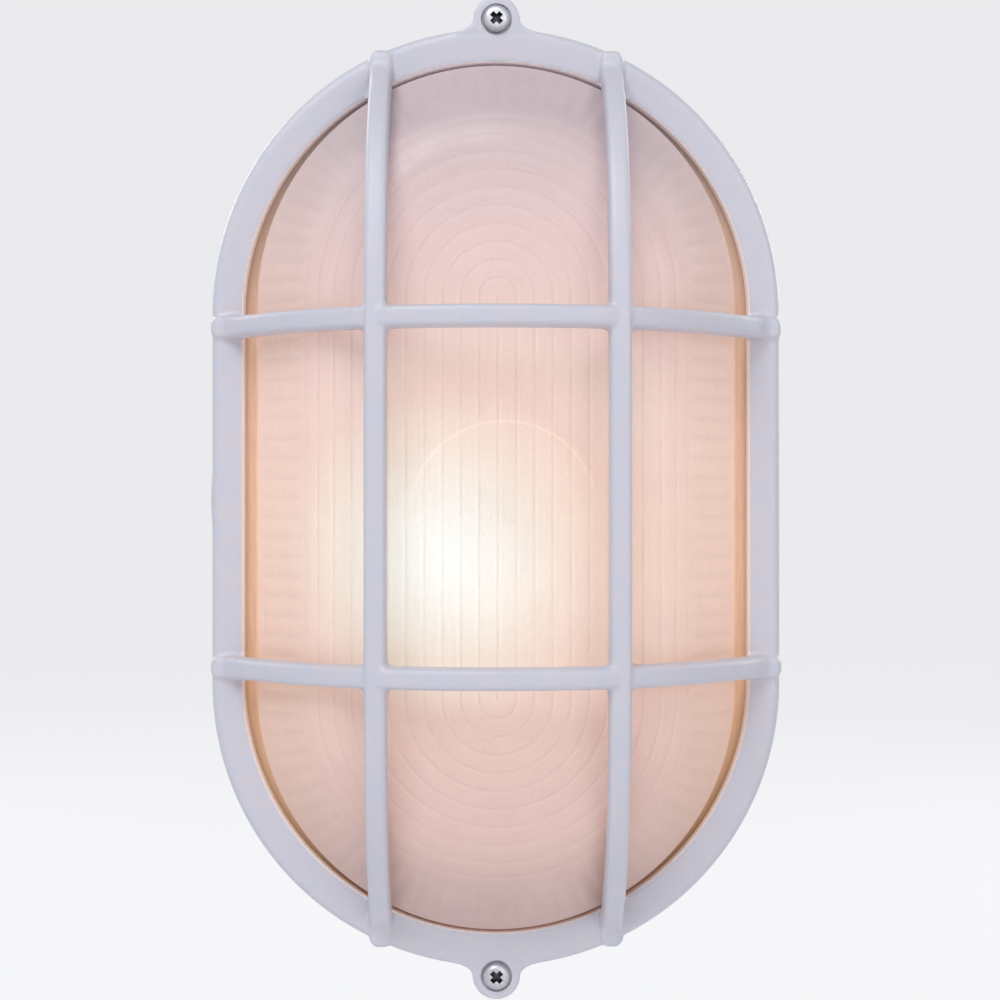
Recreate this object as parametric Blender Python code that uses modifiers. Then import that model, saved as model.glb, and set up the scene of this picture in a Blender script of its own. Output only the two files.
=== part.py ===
"""Outdoor wall light: an oval die-cast bulkhead lamp with a ribbed glass and a caged guard.

Metres, +Z up. The light hangs on a wall in the plane y = 0 and faces -Y, with the origin in the
middle of its flat back. A depth below is a distance out from the wall, so y = -depth.
"""

import math

import bmesh
import bpy
from mathutils import Vector

# Clearances
TOUCH_GAP = 0.0003
THREAD_GAP = 0.0003
SCREW_HOLE_GAP = 0.0005

# Guard ring, an upright stadium: two half circles joined by straight sides
RING_RADIUS = 0.0797
HALF_STRAIGHT = 0.0520
RING_FACE_WIDTH = 0.0089
OPENING_SHORTER = 0.0009
RING_PLATE = 0.0042
RING_EDGE_ROUND = 0.0024
SKIRT_WALL = 0.0028

# Guard cage
CAGE_HEIGHT = 0.0445
UPRIGHT_BAR_OFFSET = 0.0323
LEVEL_BAR_OFFSET = 0.0475
BAR_FRONT_WIDTH = 0.0054
BAR_BACK_WIDTH = 0.0066
BAR_THICKNESS = 0.0056
BAR_CHAMFER = 0.0010
BAR_RAISE = 0.0016
BAR_ROOT_DEPTH = 0.0036
BAR_OVERHANG = 0.0012
FOOT_REACH = 0.0019
FOOT_DROP = 0.0065

# The level bars bow more roundly, and the upright bars have flat fronts and sloping legs
LEVEL_BOW = (2.3, 1.1)
UPRIGHT_BOW = (4.0, 1.3)

# Screw ears, above and below the ring
EAR_RADIUS = 0.0067
EAR_SCREW_OUT = 0.0023
EAR_FLARE = 0.0080
EAR_ROOT_INSET = 0.0014
EAR_RECESS_RADIUS = 0.0046
EAR_RECESS_DEPTH = 0.0012
EAR_FLARE_STEPS = 5
EAR_TIP_STEPS = 10

# Glass dome
GLASS_THICKNESS = 0.0040
GLASS_SIDE_GAP = 0.0041
GLASS_END_GAP = 0.0010
GLASS_FLANGE_THICKNESS = 0.0036
GLASS_FLANGE_GAP = 0.0019
GLASS_FOOT_FLARE = 0.0005
CROWN_SLOPE = math.radians(5)
WALL_SLOPE = math.radians(50)
SHOULDER_RUN = 0.0120
WALL_RUN = 0.0147
CROWN_RIBS = 11
RIB_DEPTH = 0.0007
FLUTES_PER_SIDE = 20
FLUTES_PER_END = 34
FLUTE_DEPTH = 0.0006
FLUTE_TOP_MARGIN = 0.0020
FLUTE_FOOT_MARGIN = 0.0035
FLUTE_RAMP_SHARE = 0.15

# Gaskets
GUARD_GASKET_THICKNESS = 0.0010
GUARD_GASKET_WIDTH = 0.0034
LENS_GASKET_THICKNESS = 0.0020
LENS_GASKET_WIDTH = 0.0048

# Housing dish
RIM_INSET = 0.0005
RIM_OVERHANG = 0.0052
RIM_THICKNESS = 0.0050
RIM_CHAMFER = 0.0012
RIM_WALL = 0.0045
SEAT_RECESS = 0.0017
WALL_DRAFT = 0.0035
CAVITY_DRAFT = 0.0021
FLOOR_THICKNESS = 0.0030
BACK_ROUND = 0.0015
LUG_START = 0.0140
LUG_INSET = 0.0004
LUG_FLARE = 0.0040
LUG_HOLE_DEPTH = 0.0260
WALL_HOLE_RADIUS = 0.00275
WALL_HOLE_MARGIN = 0.0090

# Side conduit entries
ENTRY_DEPTH = 0.0240
ENTRY_BOSS_RADIUS = 0.0130
ENTRY_BOSS_OUT = 0.0040
ENTRY_BORE_RADIUS = 0.0098
PLUG_HEAD_RADIUS = 0.0118
PLUG_HEAD_HEIGHT = 0.0030
PLUG_HEAD_CHAMFER = 0.0008
PLUG_THREAD_LENGTH = 0.0100
PLUG_SOCKET_RADIUS = 0.0045
PLUG_SOCKET_DEPTH = 0.0060
PLUG_SEAL_THICKNESS = 0.0012
PLUG_SEAL_WIDTH = 0.0018

# Rear cable entry
CABLE_ENTRY_HEIGHT = 0.0640
CABLE_ENTRY_RADIUS = 0.0100
GROMMET_FLANGE = 0.0035
GROMMET_FLANGE_THICKNESS = 0.0022
GROMMET_BORE_RADIUS = 0.0045

# Reflector plate
REFLECTOR_FRONT = 0.0200
REFLECTOR_THICKNESS = 0.0012
REFLECTOR_SIDE_GAP = 0.0080
REFLECTOR_END_GAP = 0.0200
REFLECTOR_BOSS_INSET = 0.0134
BOSS_RADIUS = 0.0042
LEAD_HOLE_RADIUS = 0.0045

# Lamp, one sealed piece on an upright axis
LAMP_RADIUS = 0.0275
LAMP_LENGTH = 0.1000
LAMP_CAP_RADIUS = 0.0130
LAMP_CAP_LENGTH = 0.0250
LAMP_TIP_RADIUS = 0.0048
LAMP_BACK_GAP = 0.0045
LAMP_FRONT_GAP = 0.0020
LAMP_NECK_LENGTH = 0.0040
LAMP_BULB_END = math.radians(-32)
LAMP_CAP_TAPER = 0.0030
LAMP_TIP_HEIGHT = 0.0020
LAMP_TIP_ROUND = 0.0010

# Lampholder
SLEEVE_WALL = 0.0008
SLEEVE_LENGTH = 0.0235
CONTACT_RADIUS = 0.0042
CONTACT_HEIGHT = 0.0024
HOLDER_WALL = 0.0058
HOLDER_BASE_WALL = 0.0068
HOLDER_FLOOR = 0.0120
HOLDER_SCREW_OFFSET = 0.0110
HOLDER_CHAMFER = 0.0010
HOLDER_WAIST_SLOPE = 0.0020
HOLDER_WAIST_SHARE = 0.3

# Lampholder bracket, a bent strip
BRACKET_THICKNESS = 0.0015
BRACKET_WIDTH = 0.0300
BRACKET_LEG = 0.0270
BRACKET_SETBACK = 0.0050
BRACKET_BEND = 0.0020
BRACKET_SCREW_OFFSET = 0.0090
BRACKET_SCREW_SHARE = 0.6
BRACKET_SHELF_SHARE = 0.75

# Terminal block and earth point
TERMINAL_PITCH = 0.0100
TERMINAL_WAYS = 3
TERMINAL_HEIGHT = 0.0110
TERMINAL_LENGTH = 0.0150
TERMINAL_X = -0.0060
TERMINAL_Z = 0.0300
TERMINAL_ENTRY_RADIUS = 0.0017
TERMINAL_ENTRY_LENGTH = 0.0040
TERMINAL_ENTRY_SHARE = 0.4
BLOCK_SCREW_SEAT_SHARE = 0.3
EARTH_X = 0.0300
EARTH_Z = 0.0300
EARTH_BOSS_HEIGHT = 0.0060
LEAD_RADIUS = 0.0012
LEAD_SPREAD = 0.0070

# Where the leads bend: their run out of the block, and their steps through the reflector
LEAD_OUT = 0.0100
LEAD_SWAY = 0.0340
LEAD_SWAY_SHARE = 0.4
LEAD_DROP = (0.0200, 0.0060, 0.0160)
LEAD_LIFT = 0.0006
LEAD_END_DROP = 0.0070
EARTH_OUT = (0.0060, 0.0150, 0.0120, 0.0100)
EARTH_SHARES = (0.3, 0.8)

# Screws: head radius, head height, shank radius
COVER_SCREW = (0.0036, 0.0026, 0.0023)
COVER_SCREW_LENGTH = 0.0240
SMALL_SCREW = (0.0030, 0.0020, 0.0017)
SMALL_SCREW_LENGTH = 0.0060
TERMINAL_SCREW = (0.0019, 0.0012, 0.0013)
TERMINAL_SCREW_LENGTH = 0.0028
RECESS_WIDTH_SHARE = 0.26
RECESS_SPAN_SHARE = 1.05
RECESS_DEPTH_SHARE = 0.6
HEAD_TOP_SHARE = 0.62
HEAD_ROUND_SHARES = (0.92, 0.72)
HEAD_SIDE_SHARE = 0.3

# Fineness of the curved shapes
ARC_STEPS = 22
SIDE_STEPS = 2
BAR_STATIONS = 26
ROUND_STEPS = 20
SCREW_STEPS = 12
SHOULDER_STEPS = 5
FOOT_STEPS = 14
COVER_SCREW_STEPS = 16
BULB_STEPS = 8
BEND_STEPS = 3
ROUTE_STEPS = 3
SMOOTH_ANGLE = math.radians(32)
WELD_DISTANCE = 0.000002

# Places that follow from the sizes above
opening_radius = RING_RADIUS - RING_FACE_WIDTH
opening_half = HALF_STRAIGHT - OPENING_SHORTER
dome_radius = opening_radius - GLASS_SIDE_GAP
dome_half = opening_half + GLASS_SIDE_GAP - GLASS_END_GAP

crown_half_width = dome_radius - WALL_RUN - SHOULDER_RUN
crown_bend = crown_half_width / math.sin(CROWN_SLOPE)
shoulder_bend = SHOULDER_RUN / (math.sin(WALL_SLOPE) - math.sin(CROWN_SLOPE))
crown_length = crown_bend * CROWN_SLOPE
shoulder_length = shoulder_bend * (WALL_SLOPE - CROWN_SLOPE)
wall_length = WALL_RUN / math.cos(WALL_SLOPE)
crown_drop = crown_bend * (1 - math.cos(CROWN_SLOPE))
shoulder_drop = shoulder_bend * (math.cos(CROWN_SLOPE) - math.cos(WALL_SLOPE))
crown_height = crown_drop + shoulder_drop + WALL_RUN * math.tan(WALL_SLOPE)

lamp_depth = REFLECTOR_FRONT + LAMP_BACK_GAP + LAMP_RADIUS
ring_face = lamp_depth + LAMP_RADIUS + LAMP_FRONT_GAP + GLASS_THICKNESS - crown_height
plate_back = ring_face - RING_PLATE
guard_gasket_front = plate_back - TOUCH_GAP
flange_front = guard_gasket_front - GUARD_GASKET_THICKNESS - TOUCH_GAP
flange_back = flange_front - GLASS_FLANGE_THICKNESS
lens_gasket_front = flange_back - TOUCH_GAP
seat_depth = lens_gasket_front - LENS_GASKET_THICKNESS - TOUCH_GAP
rim_land = seat_depth + SEAT_RECESS
skirt_end = rim_land + TOUCH_GAP

skirt_inner_radius = RING_RADIUS - SKIRT_WALL
flange_radius = skirt_inner_radius - GLASS_FLANGE_GAP
seat_radius = flange_radius + 2 * TOUCH_GAP
rim_radius = RING_RADIUS - RIM_INSET
rim_wall_radius = rim_radius - RIM_OVERHANG
cavity_radius = rim_wall_radius - RIM_WALL
back_radius = rim_wall_radius - WALL_DRAFT
floor_radius = cavity_radius - CAVITY_DRAFT
rim_back = rim_land - RIM_THICKNESS

ear_z = HALF_STRAIGHT + RING_RADIUS + EAR_SCREW_OUT
ear_root_z = HALF_STRAIGHT + RING_RADIUS - EAR_ROOT_INSET
lug_root_z = HALF_STRAIGHT + back_radius - EAR_ROOT_INSET
entry_face = rim_wall_radius + ENTRY_BOSS_OUT
wall_hole_z = HALF_STRAIGHT + floor_radius - WALL_HOLE_MARGIN

reflector_back = REFLECTOR_FRONT - REFLECTOR_THICKNESS
reflector_radius = floor_radius - REFLECTOR_SIDE_GAP
reflector_half = HALF_STRAIGHT + floor_radius - REFLECTOR_END_GAP - reflector_radius
reflector_boss_x = reflector_radius - REFLECTOR_BOSS_INSET
bracket_front = REFLECTOR_FRONT + TOUCH_GAP
shelf_bottom = BRACKET_SETBACK - reflector_half - reflector_radius
shelf_top = shelf_bottom + BRACKET_THICKNESS
bracket_screw_z = shelf_top + BRACKET_LEG * BRACKET_SCREW_SHARE

sleeve_inner_radius = LAMP_CAP_RADIUS + THREAD_GAP
sleeve_outer_radius = sleeve_inner_radius + SLEEVE_WALL
holder_bore_radius = sleeve_outer_radius + TOUCH_GAP
holder_base_radius = holder_bore_radius + HOLDER_BASE_WALL
holder_bottom = shelf_top + TOUCH_GAP
holder_floor_z = holder_bottom + HOLDER_FLOOR
lamp_bottom = holder_floor_z + 2 * TOUCH_GAP + CONTACT_HEIGHT
lamp_top = lamp_bottom + LAMP_LENGTH
holder_top = lamp_bottom + LAMP_CAP_LENGTH
lead_hole_z = holder_top - LEAD_HOLE_RADIUS
lead_end_z = holder_bottom + HOLDER_FLOOR / 2


def remove_all_objects():
    for obj in list(bpy.data.objects):
        bpy.data.objects.remove(obj, do_unlink=True)


def new_collection(name, parent):
    collection = bpy.data.collections.new(name)
    parent.children.link(collection)
    return collection


def new_material(name, colour, roughness, metallic):
    material = bpy.data.materials.new(name)
    material.use_nodes = True
    shader = material.node_tree.nodes["Principled BSDF"]
    shader.inputs["Base Color"].default_value = (*colour, 1)
    shader.inputs["Roughness"].default_value = roughness
    shader.inputs["Metallic"].default_value = metallic
    material.diffuse_color = (*colour, 1)
    return material


def place(obj, collection, material, location=(0, 0, 0), rotation=(0, 0, 0)):
    """Link the object to its collection, and mark it as a helper if it has no material."""
    collection.objects.link(obj)
    obj.location = location
    obj.rotation_euler = rotation
    if material is None:
        obj.hide_render = True
        obj.display_type = "WIRE"
    else:
        obj.data.materials.append(material)
    return obj


def mesh_object(name, bm, collection, material=None, location=(0, 0, 0), rotation=(0, 0, 0)):
    bmesh.ops.recalc_face_normals(bm, faces=bm.faces)
    mesh = bpy.data.meshes.new(name)
    bm.to_mesh(mesh)
    bm.free()
    mesh.shade_smooth()
    mesh.set_sharp_from_angle(angle=SMOOTH_ANGLE)
    return place(bpy.data.objects.new(name, mesh), collection, material, location, rotation)


def stadium_spots(arc_steps, side_steps):
    """Yield (direction x, direction z, share of the straight) round a stadium, from low on its right."""
    for end in (1, -1):
        for step in range(side_steps):
            yield end, 0.0, end * (2 * step / side_steps - 1)
        for step in range(arc_steps):
            angle = math.pi * step / arc_steps
            yield end * math.cos(angle), end * math.sin(angle), end


def stadium(radius, half, depth, arc_steps=ARC_STEPS, side_steps=SIDE_STEPS):
    return [
        Vector((radius * x, -depth, radius * z + half * share))
        for x, z, share in stadium_spots(arc_steps, side_steps)
    ]


def loft(loops, ring=False):
    """Skin a row of like loops. A ring joins its last loop to its first, and other rows are capped."""
    bm = bmesh.new()
    skins = [[bm.verts.new(point) for point in points] for points in loops]
    pairs = list(zip(skins, skins[1:]))
    if ring:
        pairs.append((skins[-1], skins[0]))
    else:
        bm.faces.new(skins[0])
        bm.faces.new(skins[-1])
    for near, far in pairs:
        for i in range(len(near)):
            bm.faces.new((near[i - 1], near[i], far[i], far[i - 1]))
    return bm


def prism(outline, direction, start, end):
    """A flat outline of 3-D points, carried along a direction from one distance to another."""
    return loft([[point + direction * reach for point in outline] for reach in (start, end)])


def cylinder(radius, start, end, steps=ROUND_STEPS):
    """A cylinder on the local Z axis between two heights."""
    bm = bmesh.new()
    bmesh.ops.create_cone(
        bm, cap_ends=True, segments=steps, radius1=radius, radius2=radius, depth=end - start
    )
    bmesh.ops.translate(bm, verts=bm.verts, vec=(0, 0, (start + end) / 2))
    return bm


# A local Z axis turned to face the room, the ground, or either side
FACING_ROOM = (math.pi / 2, 0, 0)
FACING_GROUND = (math.pi, 0, 0)
FACING_RIGHT = (0, math.pi / 2, 0)
FACING_LEFT = (0, -math.pi / 2, 0)


def turned(name, profile, collection, material, location=(0, 0, 0), rotation=(0, 0, 0), steps=ROUND_STEPS):
    """Turn a profile of (radius, height) pairs, listed down its outer side, about the local Z axis."""
    bm = bmesh.new()
    verts = [bm.verts.new((radius, 0, height)) for radius, height in profile]
    for upper, lower in zip(verts, verts[1:]):
        bm.edges.new((upper, lower))
    if profile[0][0] > 0:
        bm.edges.new((verts[-1], verts[0]))
    mesh = bpy.data.meshes.new(name)
    bm.to_mesh(mesh)
    bm.free()
    obj = place(bpy.data.objects.new(name, mesh), collection, material, location, rotation)
    screw = obj.modifiers.new("Turn", "SCREW")
    screw.axis = "Z"
    screw.steps = steps
    screw.render_steps = steps
    screw.use_merge_vertices = True
    screw.merge_threshold = WELD_DISTANCE
    screw.use_smooth_shade = True
    return obj


def boolean(obj, operation, operand):
    modifier = obj.modifiers.new(operation.title(), "BOOLEAN")
    modifier.operation = operation
    modifier.solver = "EXACT"
    if isinstance(operand, bpy.types.Collection):
        modifier.operand_type = "COLLECTION"
        modifier.collection = operand
    else:
        modifier.object = operand


def recess_cutter(name, head_radius, head_height, collection, location, rotation, cross):
    """A cross or a single slot that sinks into a screw head."""
    half = head_radius * RECESS_WIDTH_SHARE / 2
    span = head_radius * RECESS_SPAN_SHARE / 2
    if cross:
        corner = ((span, -half), (span, half), (half, half))
        turns = 4
    else:
        corner = ((2 * span, -half), (2 * span, half))
        turns = 2
    outline = []
    for turn in range(turns):
        angle = 2 * math.pi * turn / turns + math.pi / 4
        for x, y in corner:
            outline.append(Vector((x * math.cos(angle) - y * math.sin(angle),
                                   x * math.sin(angle) + y * math.cos(angle), 0)))
    bottom = head_height * (1 - RECESS_DEPTH_SHARE)
    bm = prism(outline, Vector((0, 0, 1)), bottom, head_height * 2)
    return mesh_object(name, bm, collection, None, location, rotation)


def screw(name, sizes, length, location, rotation, material, cross=True, steps=SCREW_STEPS):
    """A pan-head screw whose head sits on the local plane z = 0."""
    head_radius, head_height, shank_radius = sizes
    profile = [
        (0, head_height),
        (head_radius * HEAD_TOP_SHARE, head_height),
        (head_radius * HEAD_ROUND_SHARES[0], head_height * HEAD_ROUND_SHARES[1]),
        (head_radius, head_height * HEAD_SIDE_SHARE),
        (head_radius, 0),
        (shank_radius, 0),
        (shank_radius, -length),
        (0, -length),
    ]
    obj = turned(name, profile, parts, material, location, rotation, steps)
    cutter = recess_cutter(
        name + "_recess", head_radius, head_height, cutters, location, rotation, cross
    )
    boolean(obj, "DIFFERENCE", cutter)
    return obj


def ear_outline(radius, flare, root_z, up):
    """Outline of a screw ear in the plane y = 0: a round tip about the screw that flares to its root."""
    points = []
    for step in range(EAR_FLARE_STEPS):
        angle = math.pi / 2 * step / EAR_FLARE_STEPS
        x = radius + flare * (1 - math.sin(angle))
        points.append((x, ear_z - (ear_z - root_z) * math.cos(angle)))
    for step in range(EAR_TIP_STEPS + 1):
        angle = math.pi * step / EAR_TIP_STEPS
        points.append((radius * math.cos(angle), ear_z + radius * math.sin(angle)))
    for step in range(EAR_FLARE_STEPS):
        angle = math.pi / 2 * (1 - (step + 1) / EAR_FLARE_STEPS)
        x = radius + flare * (1 - math.sin(angle))
        points.append((-x, ear_z - (ear_z - root_z) * math.cos(angle)))
    return [Vector((x, 0, up * z)) for x, z in points]


def outline_reach(across, radius, half, upright):
    """How far a stadium reaches from the centre along a line at a given offset across it."""
    if upright:
        return half + math.sqrt(radius ** 2 - across ** 2)
    beyond = max(abs(across) - half, 0)
    return math.sqrt(radius ** 2 - beyond ** 2)


def bow_share(share, bow):
    return max(1 - abs(share) ** bow[0], 0) ** (1 / bow[1])


def bar_root(across, upright):
    """Where a bar's front leaves the ring: over the middle of the ring's face."""
    inner = outline_reach(across, opening_radius, opening_half, upright)
    outer = outline_reach(across, RING_RADIUS, HALF_STRAIGHT, upright)
    return (inner + outer) / 2


level_root = bar_root(LEVEL_BAR_OFFSET, False)
upright_root = bar_root(UPRIGHT_BAR_OFFSET, True)
crossing_height = (CAGE_HEIGHT - BAR_RAISE) * bow_share(UPRIGHT_BAR_OFFSET / level_root, LEVEL_BOW)
upright_height = crossing_height / bow_share(LEVEL_BAR_OFFSET / upright_root, UPRIGHT_BOW)


def bar_height(along, upright):
    """Height of a bar's front over the ring's face, at a distance from the middle of the bar."""
    if upright:
        return BAR_RAISE + upright_height * bow_share(along / upright_root, UPRIGHT_BOW)
    return BAR_RAISE + (CAGE_HEIGHT - BAR_RAISE) * bow_share(along / level_root, LEVEL_BOW)


def bar_section(spot, normal, side, thickness):
    """Six corners of a drafted bar: chamfered at its front, wider towards the glass."""
    front = BAR_FRONT_WIDTH / 2
    back = BAR_BACK_WIDTH / 2
    corners = (
        (-front + BAR_CHAMFER, 0),
        (front - BAR_CHAMFER, 0),
        (front, -BAR_CHAMFER),
        (back, -thickness),
        (-back, -thickness),
        (-front, -BAR_CHAMFER),
    )
    return [spot + side * across + normal * out for across, out in corners]


def cage_bar(name, across, upright):
    """One bowed bar, lofted from foot to foot over the glass."""
    root = upright_root if upright else level_root
    foot = foot_distance(across, upright)
    end_height = ring_face + BAR_RAISE
    rows = [(-foot, end_height, BAR_ROOT_DEPTH), (-root, end_height, BAR_ROOT_DEPTH)]
    for step in range(1, BAR_STATIONS):
        angle = math.pi * (step / BAR_STATIONS - 0.5)
        along = root * math.sin(angle)
        rows.append((along, ring_face + bar_height(along, upright), BAR_THICKNESS))
    rows += [(root, end_height, BAR_ROOT_DEPTH), (foot, end_height, BAR_ROOT_DEPTH)]
    along_axis = Vector((0, 0, 1)) if upright else Vector((1, 0, 0))
    side = Vector((1, 0, 0)) if upright else Vector((0, 0, 1))
    out = Vector((0, -1, 0))
    centre = side * across
    loops = []
    for index, (along, height, thickness) in enumerate(rows):
        before = rows[max(index - 1, 0)]
        after = rows[min(index + 1, len(rows) - 1)]
        run = along_axis * (after[0] - before[0]) + out * (after[1] - before[1])
        if thickness == BAR_ROOT_DEPTH:
            run = along_axis
        run.normalize()
        normal = out - run * out.dot(run)
        normal.normalize()
        spot = centre + along_axis * along + out * height
        loops.append(bar_section(spot, normal, side, thickness))
    return mesh_object(name, loft(loops), guard_castings)


def foot_distance(across, upright):
    """Centre of the rounded foot that carries a bar over the ring's outer edge."""
    return outline_reach(across, RING_RADIUS, HALF_STRAIGHT, upright) + BAR_OVERHANG - FOOT_REACH


def bar_foot(name, across, upright, end):
    bm = cylinder(BAR_FRONT_WIDTH / 2, ring_face - FOOT_DROP, ring_face + BAR_RAISE - TOUCH_GAP, FOOT_STEPS)
    squeeze = FOOT_REACH / (BAR_FRONT_WIDTH / 2)
    foot = end * foot_distance(across, upright)
    if upright:
        bmesh.ops.scale(bm, vec=(1, squeeze, 1), verts=bm.verts)
        spot = (across, 0, foot)
    else:
        bmesh.ops.scale(bm, vec=(squeeze, 1, 1), verts=bm.verts)
        spot = (foot, 0, across)
    return mesh_object(name, bm, guard_castings, None, spot, FACING_ROOM)


def build_guard():
    """White die-cast ring with its skirt, cage and ears, one casting."""
    bend = RING_EDGE_ROUND * (1 - math.sqrt(0.5))
    sections = (
        (opening_radius, opening_half, ring_face),
        (RING_RADIUS - RING_EDGE_ROUND, HALF_STRAIGHT, ring_face),
        (RING_RADIUS - bend, HALF_STRAIGHT, ring_face - bend),
        (RING_RADIUS, HALF_STRAIGHT, ring_face - RING_EDGE_ROUND),
        (RING_RADIUS, HALF_STRAIGHT, skirt_end),
        (skirt_inner_radius, HALF_STRAIGHT, skirt_end),
        (skirt_inner_radius, HALF_STRAIGHT, plate_back),
        (opening_radius, opening_half, plate_back),
    )
    bm = loft([stadium(*section) for section in sections], ring=True)
    guard = mesh_object("guard_cover", bm, parts, painted_metal)
    for sign, word in ((-1, "left"), (1, "right")):
        cage_bar("upright_bar_" + word, sign * UPRIGHT_BAR_OFFSET, True)
        for end in (-1, 1):
            bar_foot(f"upright_foot_{word}_{end}", sign * UPRIGHT_BAR_OFFSET, True, end)
    for sign, word in ((-1, "low"), (1, "high")):
        cage_bar("level_bar_" + word, sign * LEVEL_BAR_OFFSET, False)
        for end in (-1, 1):
            bar_foot(f"level_foot_{word}_{end}", sign * LEVEL_BAR_OFFSET, False, end)
    out = Vector((0, -1, 0))
    for up, word in ((1, "top"), (-1, "bottom")):
        outline = ear_outline(EAR_RADIUS, EAR_FLARE, ear_root_z, up)
        mesh_object("ear_" + word, prism(outline, out, skirt_end, ring_face), guard_castings)
        spot = (0, 0, up * ear_z)
        hole = COVER_SCREW[2] + SCREW_HOLE_GAP
        bm = cylinder(hole, skirt_end - RING_PLATE, ring_face + RING_PLATE)
        mesh_object("ear_hole_" + word, bm, guard_holes, None, spot, FACING_ROOM)
        bm = cylinder(EAR_RECESS_RADIUS, ring_face - EAR_RECESS_DEPTH, ring_face + RING_PLATE)
        mesh_object("ear_recess_" + word, bm, guard_holes, None, spot, FACING_ROOM)
    boolean(guard, "UNION", guard_castings)
    boolean(guard, "DIFFERENCE", guard_holes)
    guard.parent = cover_carrier
    return guard


def dome_point(length, inward):
    """(distance from the centre line, depth) on the dome, at a length along its outer face."""
    if length < crown_length:
        slope = length / crown_bend
        distance = crown_bend * math.sin(slope)
        drop = crown_bend * (1 - math.cos(slope))
    elif length < crown_length + shoulder_length:
        slope = CROWN_SLOPE + (length - crown_length) / shoulder_bend
        distance = crown_half_width + shoulder_bend * (math.sin(slope) - math.sin(CROWN_SLOPE))
        drop = crown_drop + shoulder_bend * (math.cos(CROWN_SLOPE) - math.cos(slope))
    else:
        slope = WALL_SLOPE
        beyond = length - crown_length - shoulder_length
        distance = crown_half_width + SHOULDER_RUN + beyond * math.cos(slope)
        drop = crown_drop + shoulder_drop + beyond * math.sin(slope)
    distance -= inward * math.sin(slope)
    return max(distance, 0), ring_face + crown_height - drop - inward * math.cos(slope)


def dome_loop(length, inward, arc_steps, side_steps, flute=0.0):
    """A loop at a constant length down the dome, each second point sunk by the flute's depth."""
    points = []
    for index, (x, z, share) in enumerate(stadium_spots(arc_steps, side_steps)):
        distance, depth = dome_point(length, inward + flute * (index % 2))
        points.append(Vector((distance * x, -depth, distance * z + dome_half * share)))
    return points


def loop_shares(arc_steps, side_steps):
    """How far round each point of a stadium lies: one for each side and one for each end."""
    shares = []
    for quarter in range(4):
        steps = arc_steps if quarter % 2 else side_steps
        shares += [quarter + step / steps for step in range(steps)]
    return shares


def stitch(bm, near, near_shares, far, far_shares):
    """Skin two loops with unlike numbers of points, always closing the one that lags behind."""
    i = 0
    j = 0
    while i < len(near) or j < len(far):
        next_near = near_shares[i + 1] if i + 1 < len(near) else 4
        next_far = far_shares[j + 1] if j + 1 < len(far) else 4
        a = near[i % len(near)]
        b = far[j % len(far)]
        if j >= len(far) or (i < len(near) and next_near <= next_far):
            i += 1
            bm.faces.new((a, b, near[i % len(near)]))
        else:
            j += 1
            bm.faces.new((a, b, far[j % len(far)]))


def build_lens():
    """Pressed glass: crown ribs that run round the centre line, flutes down the wall, and a flange."""
    coarse = (ARC_STEPS, SIDE_STEPS)
    fine = (2 * FLUTES_PER_END, 2 * FLUTES_PER_SIDE)
    ribbed_length = crown_length + shoulder_length
    half_rib = ribbed_length / CROWN_RIBS / 2
    rows = []
    for step in range(2 * CROWN_RIBS + 1):
        sunk = 0 if step % 2 else RIB_DEPTH
        rows.append((dome_loop(step * half_rib, sunk, *coarse), coarse))
    flute_top = ribbed_length + FLUTE_TOP_MARGIN
    flute_foot = ribbed_length + wall_length - FLUTE_FOOT_MARGIN
    rows.append((dome_loop(flute_top, 0, *fine), fine))
    for share in (FLUTE_RAMP_SHARE, 1 - FLUTE_RAMP_SHARE):
        length = flute_top + (flute_foot - flute_top) * share
        rows.append((dome_loop(length, 0, *fine, flute=FLUTE_DEPTH), fine))
    rows.append((dome_loop(flute_foot, 0, *fine), fine))
    foot_radius = dome_radius + GLASS_FOOT_FLARE
    rows.append((dome_loop(ribbed_length + wall_length, 0, *coarse), coarse))
    rows.append((stadium(foot_radius, dome_half, flange_front), coarse))
    rows.append((stadium(flange_radius, HALF_STRAIGHT, flange_front), coarse))
    rows.append((stadium(flange_radius, HALF_STRAIGHT, flange_back), coarse))
    rows.append((stadium(foot_radius - GLASS_THICKNESS, dome_half, flange_back), coarse))
    inner_lengths = [ribbed_length + wall_length, ribbed_length]
    for step in range(SHOULDER_STEPS - 1, -1, -1):
        inner_lengths.append(crown_length + shoulder_length * step / SHOULDER_STEPS)
    inner_lengths += [crown_length / 2, 0]
    for length in inner_lengths:
        rows.append((dome_loop(length, GLASS_THICKNESS, *coarse), coarse))
    bm = bmesh.new()
    skins = [([bm.verts.new(point) for point in points], loop_shares(*steps)) for points, steps in rows]
    for (near, near_shares), (far, far_shares) in zip(skins, skins[1:]):
        stitch(bm, near, near_shares, far, far_shares)
    bmesh.ops.remove_doubles(bm, verts=bm.verts, dist=WELD_DISTANCE)
    lens = mesh_object("glass_lens", bm, parts, frosted_glass)
    lens.parent = cover_carrier
    return lens


def flat_gasket(name, outer_radius, width, front, thickness):
    back = front - thickness
    sections = (
        (outer_radius - width, HALF_STRAIGHT, front),
        (outer_radius, HALF_STRAIGHT, front),
        (outer_radius, HALF_STRAIGHT, back),
        (outer_radius - width, HALF_STRAIGHT, back),
    )
    bm = loft([stadium(*section) for section in sections], ring=True)
    return mesh_object(name, bm, parts, rubber)


def build_gaskets():
    guard_gasket = flat_gasket(
        "guard_gasket", flange_radius, GUARD_GASKET_WIDTH, guard_gasket_front, GUARD_GASKET_THICKNESS
    )
    guard_gasket.parent = cover_carrier
    flat_gasket(
        "lens_gasket", flange_radius, LENS_GASKET_WIDTH, lens_gasket_front, LENS_GASKET_THICKNESS
    )


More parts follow.
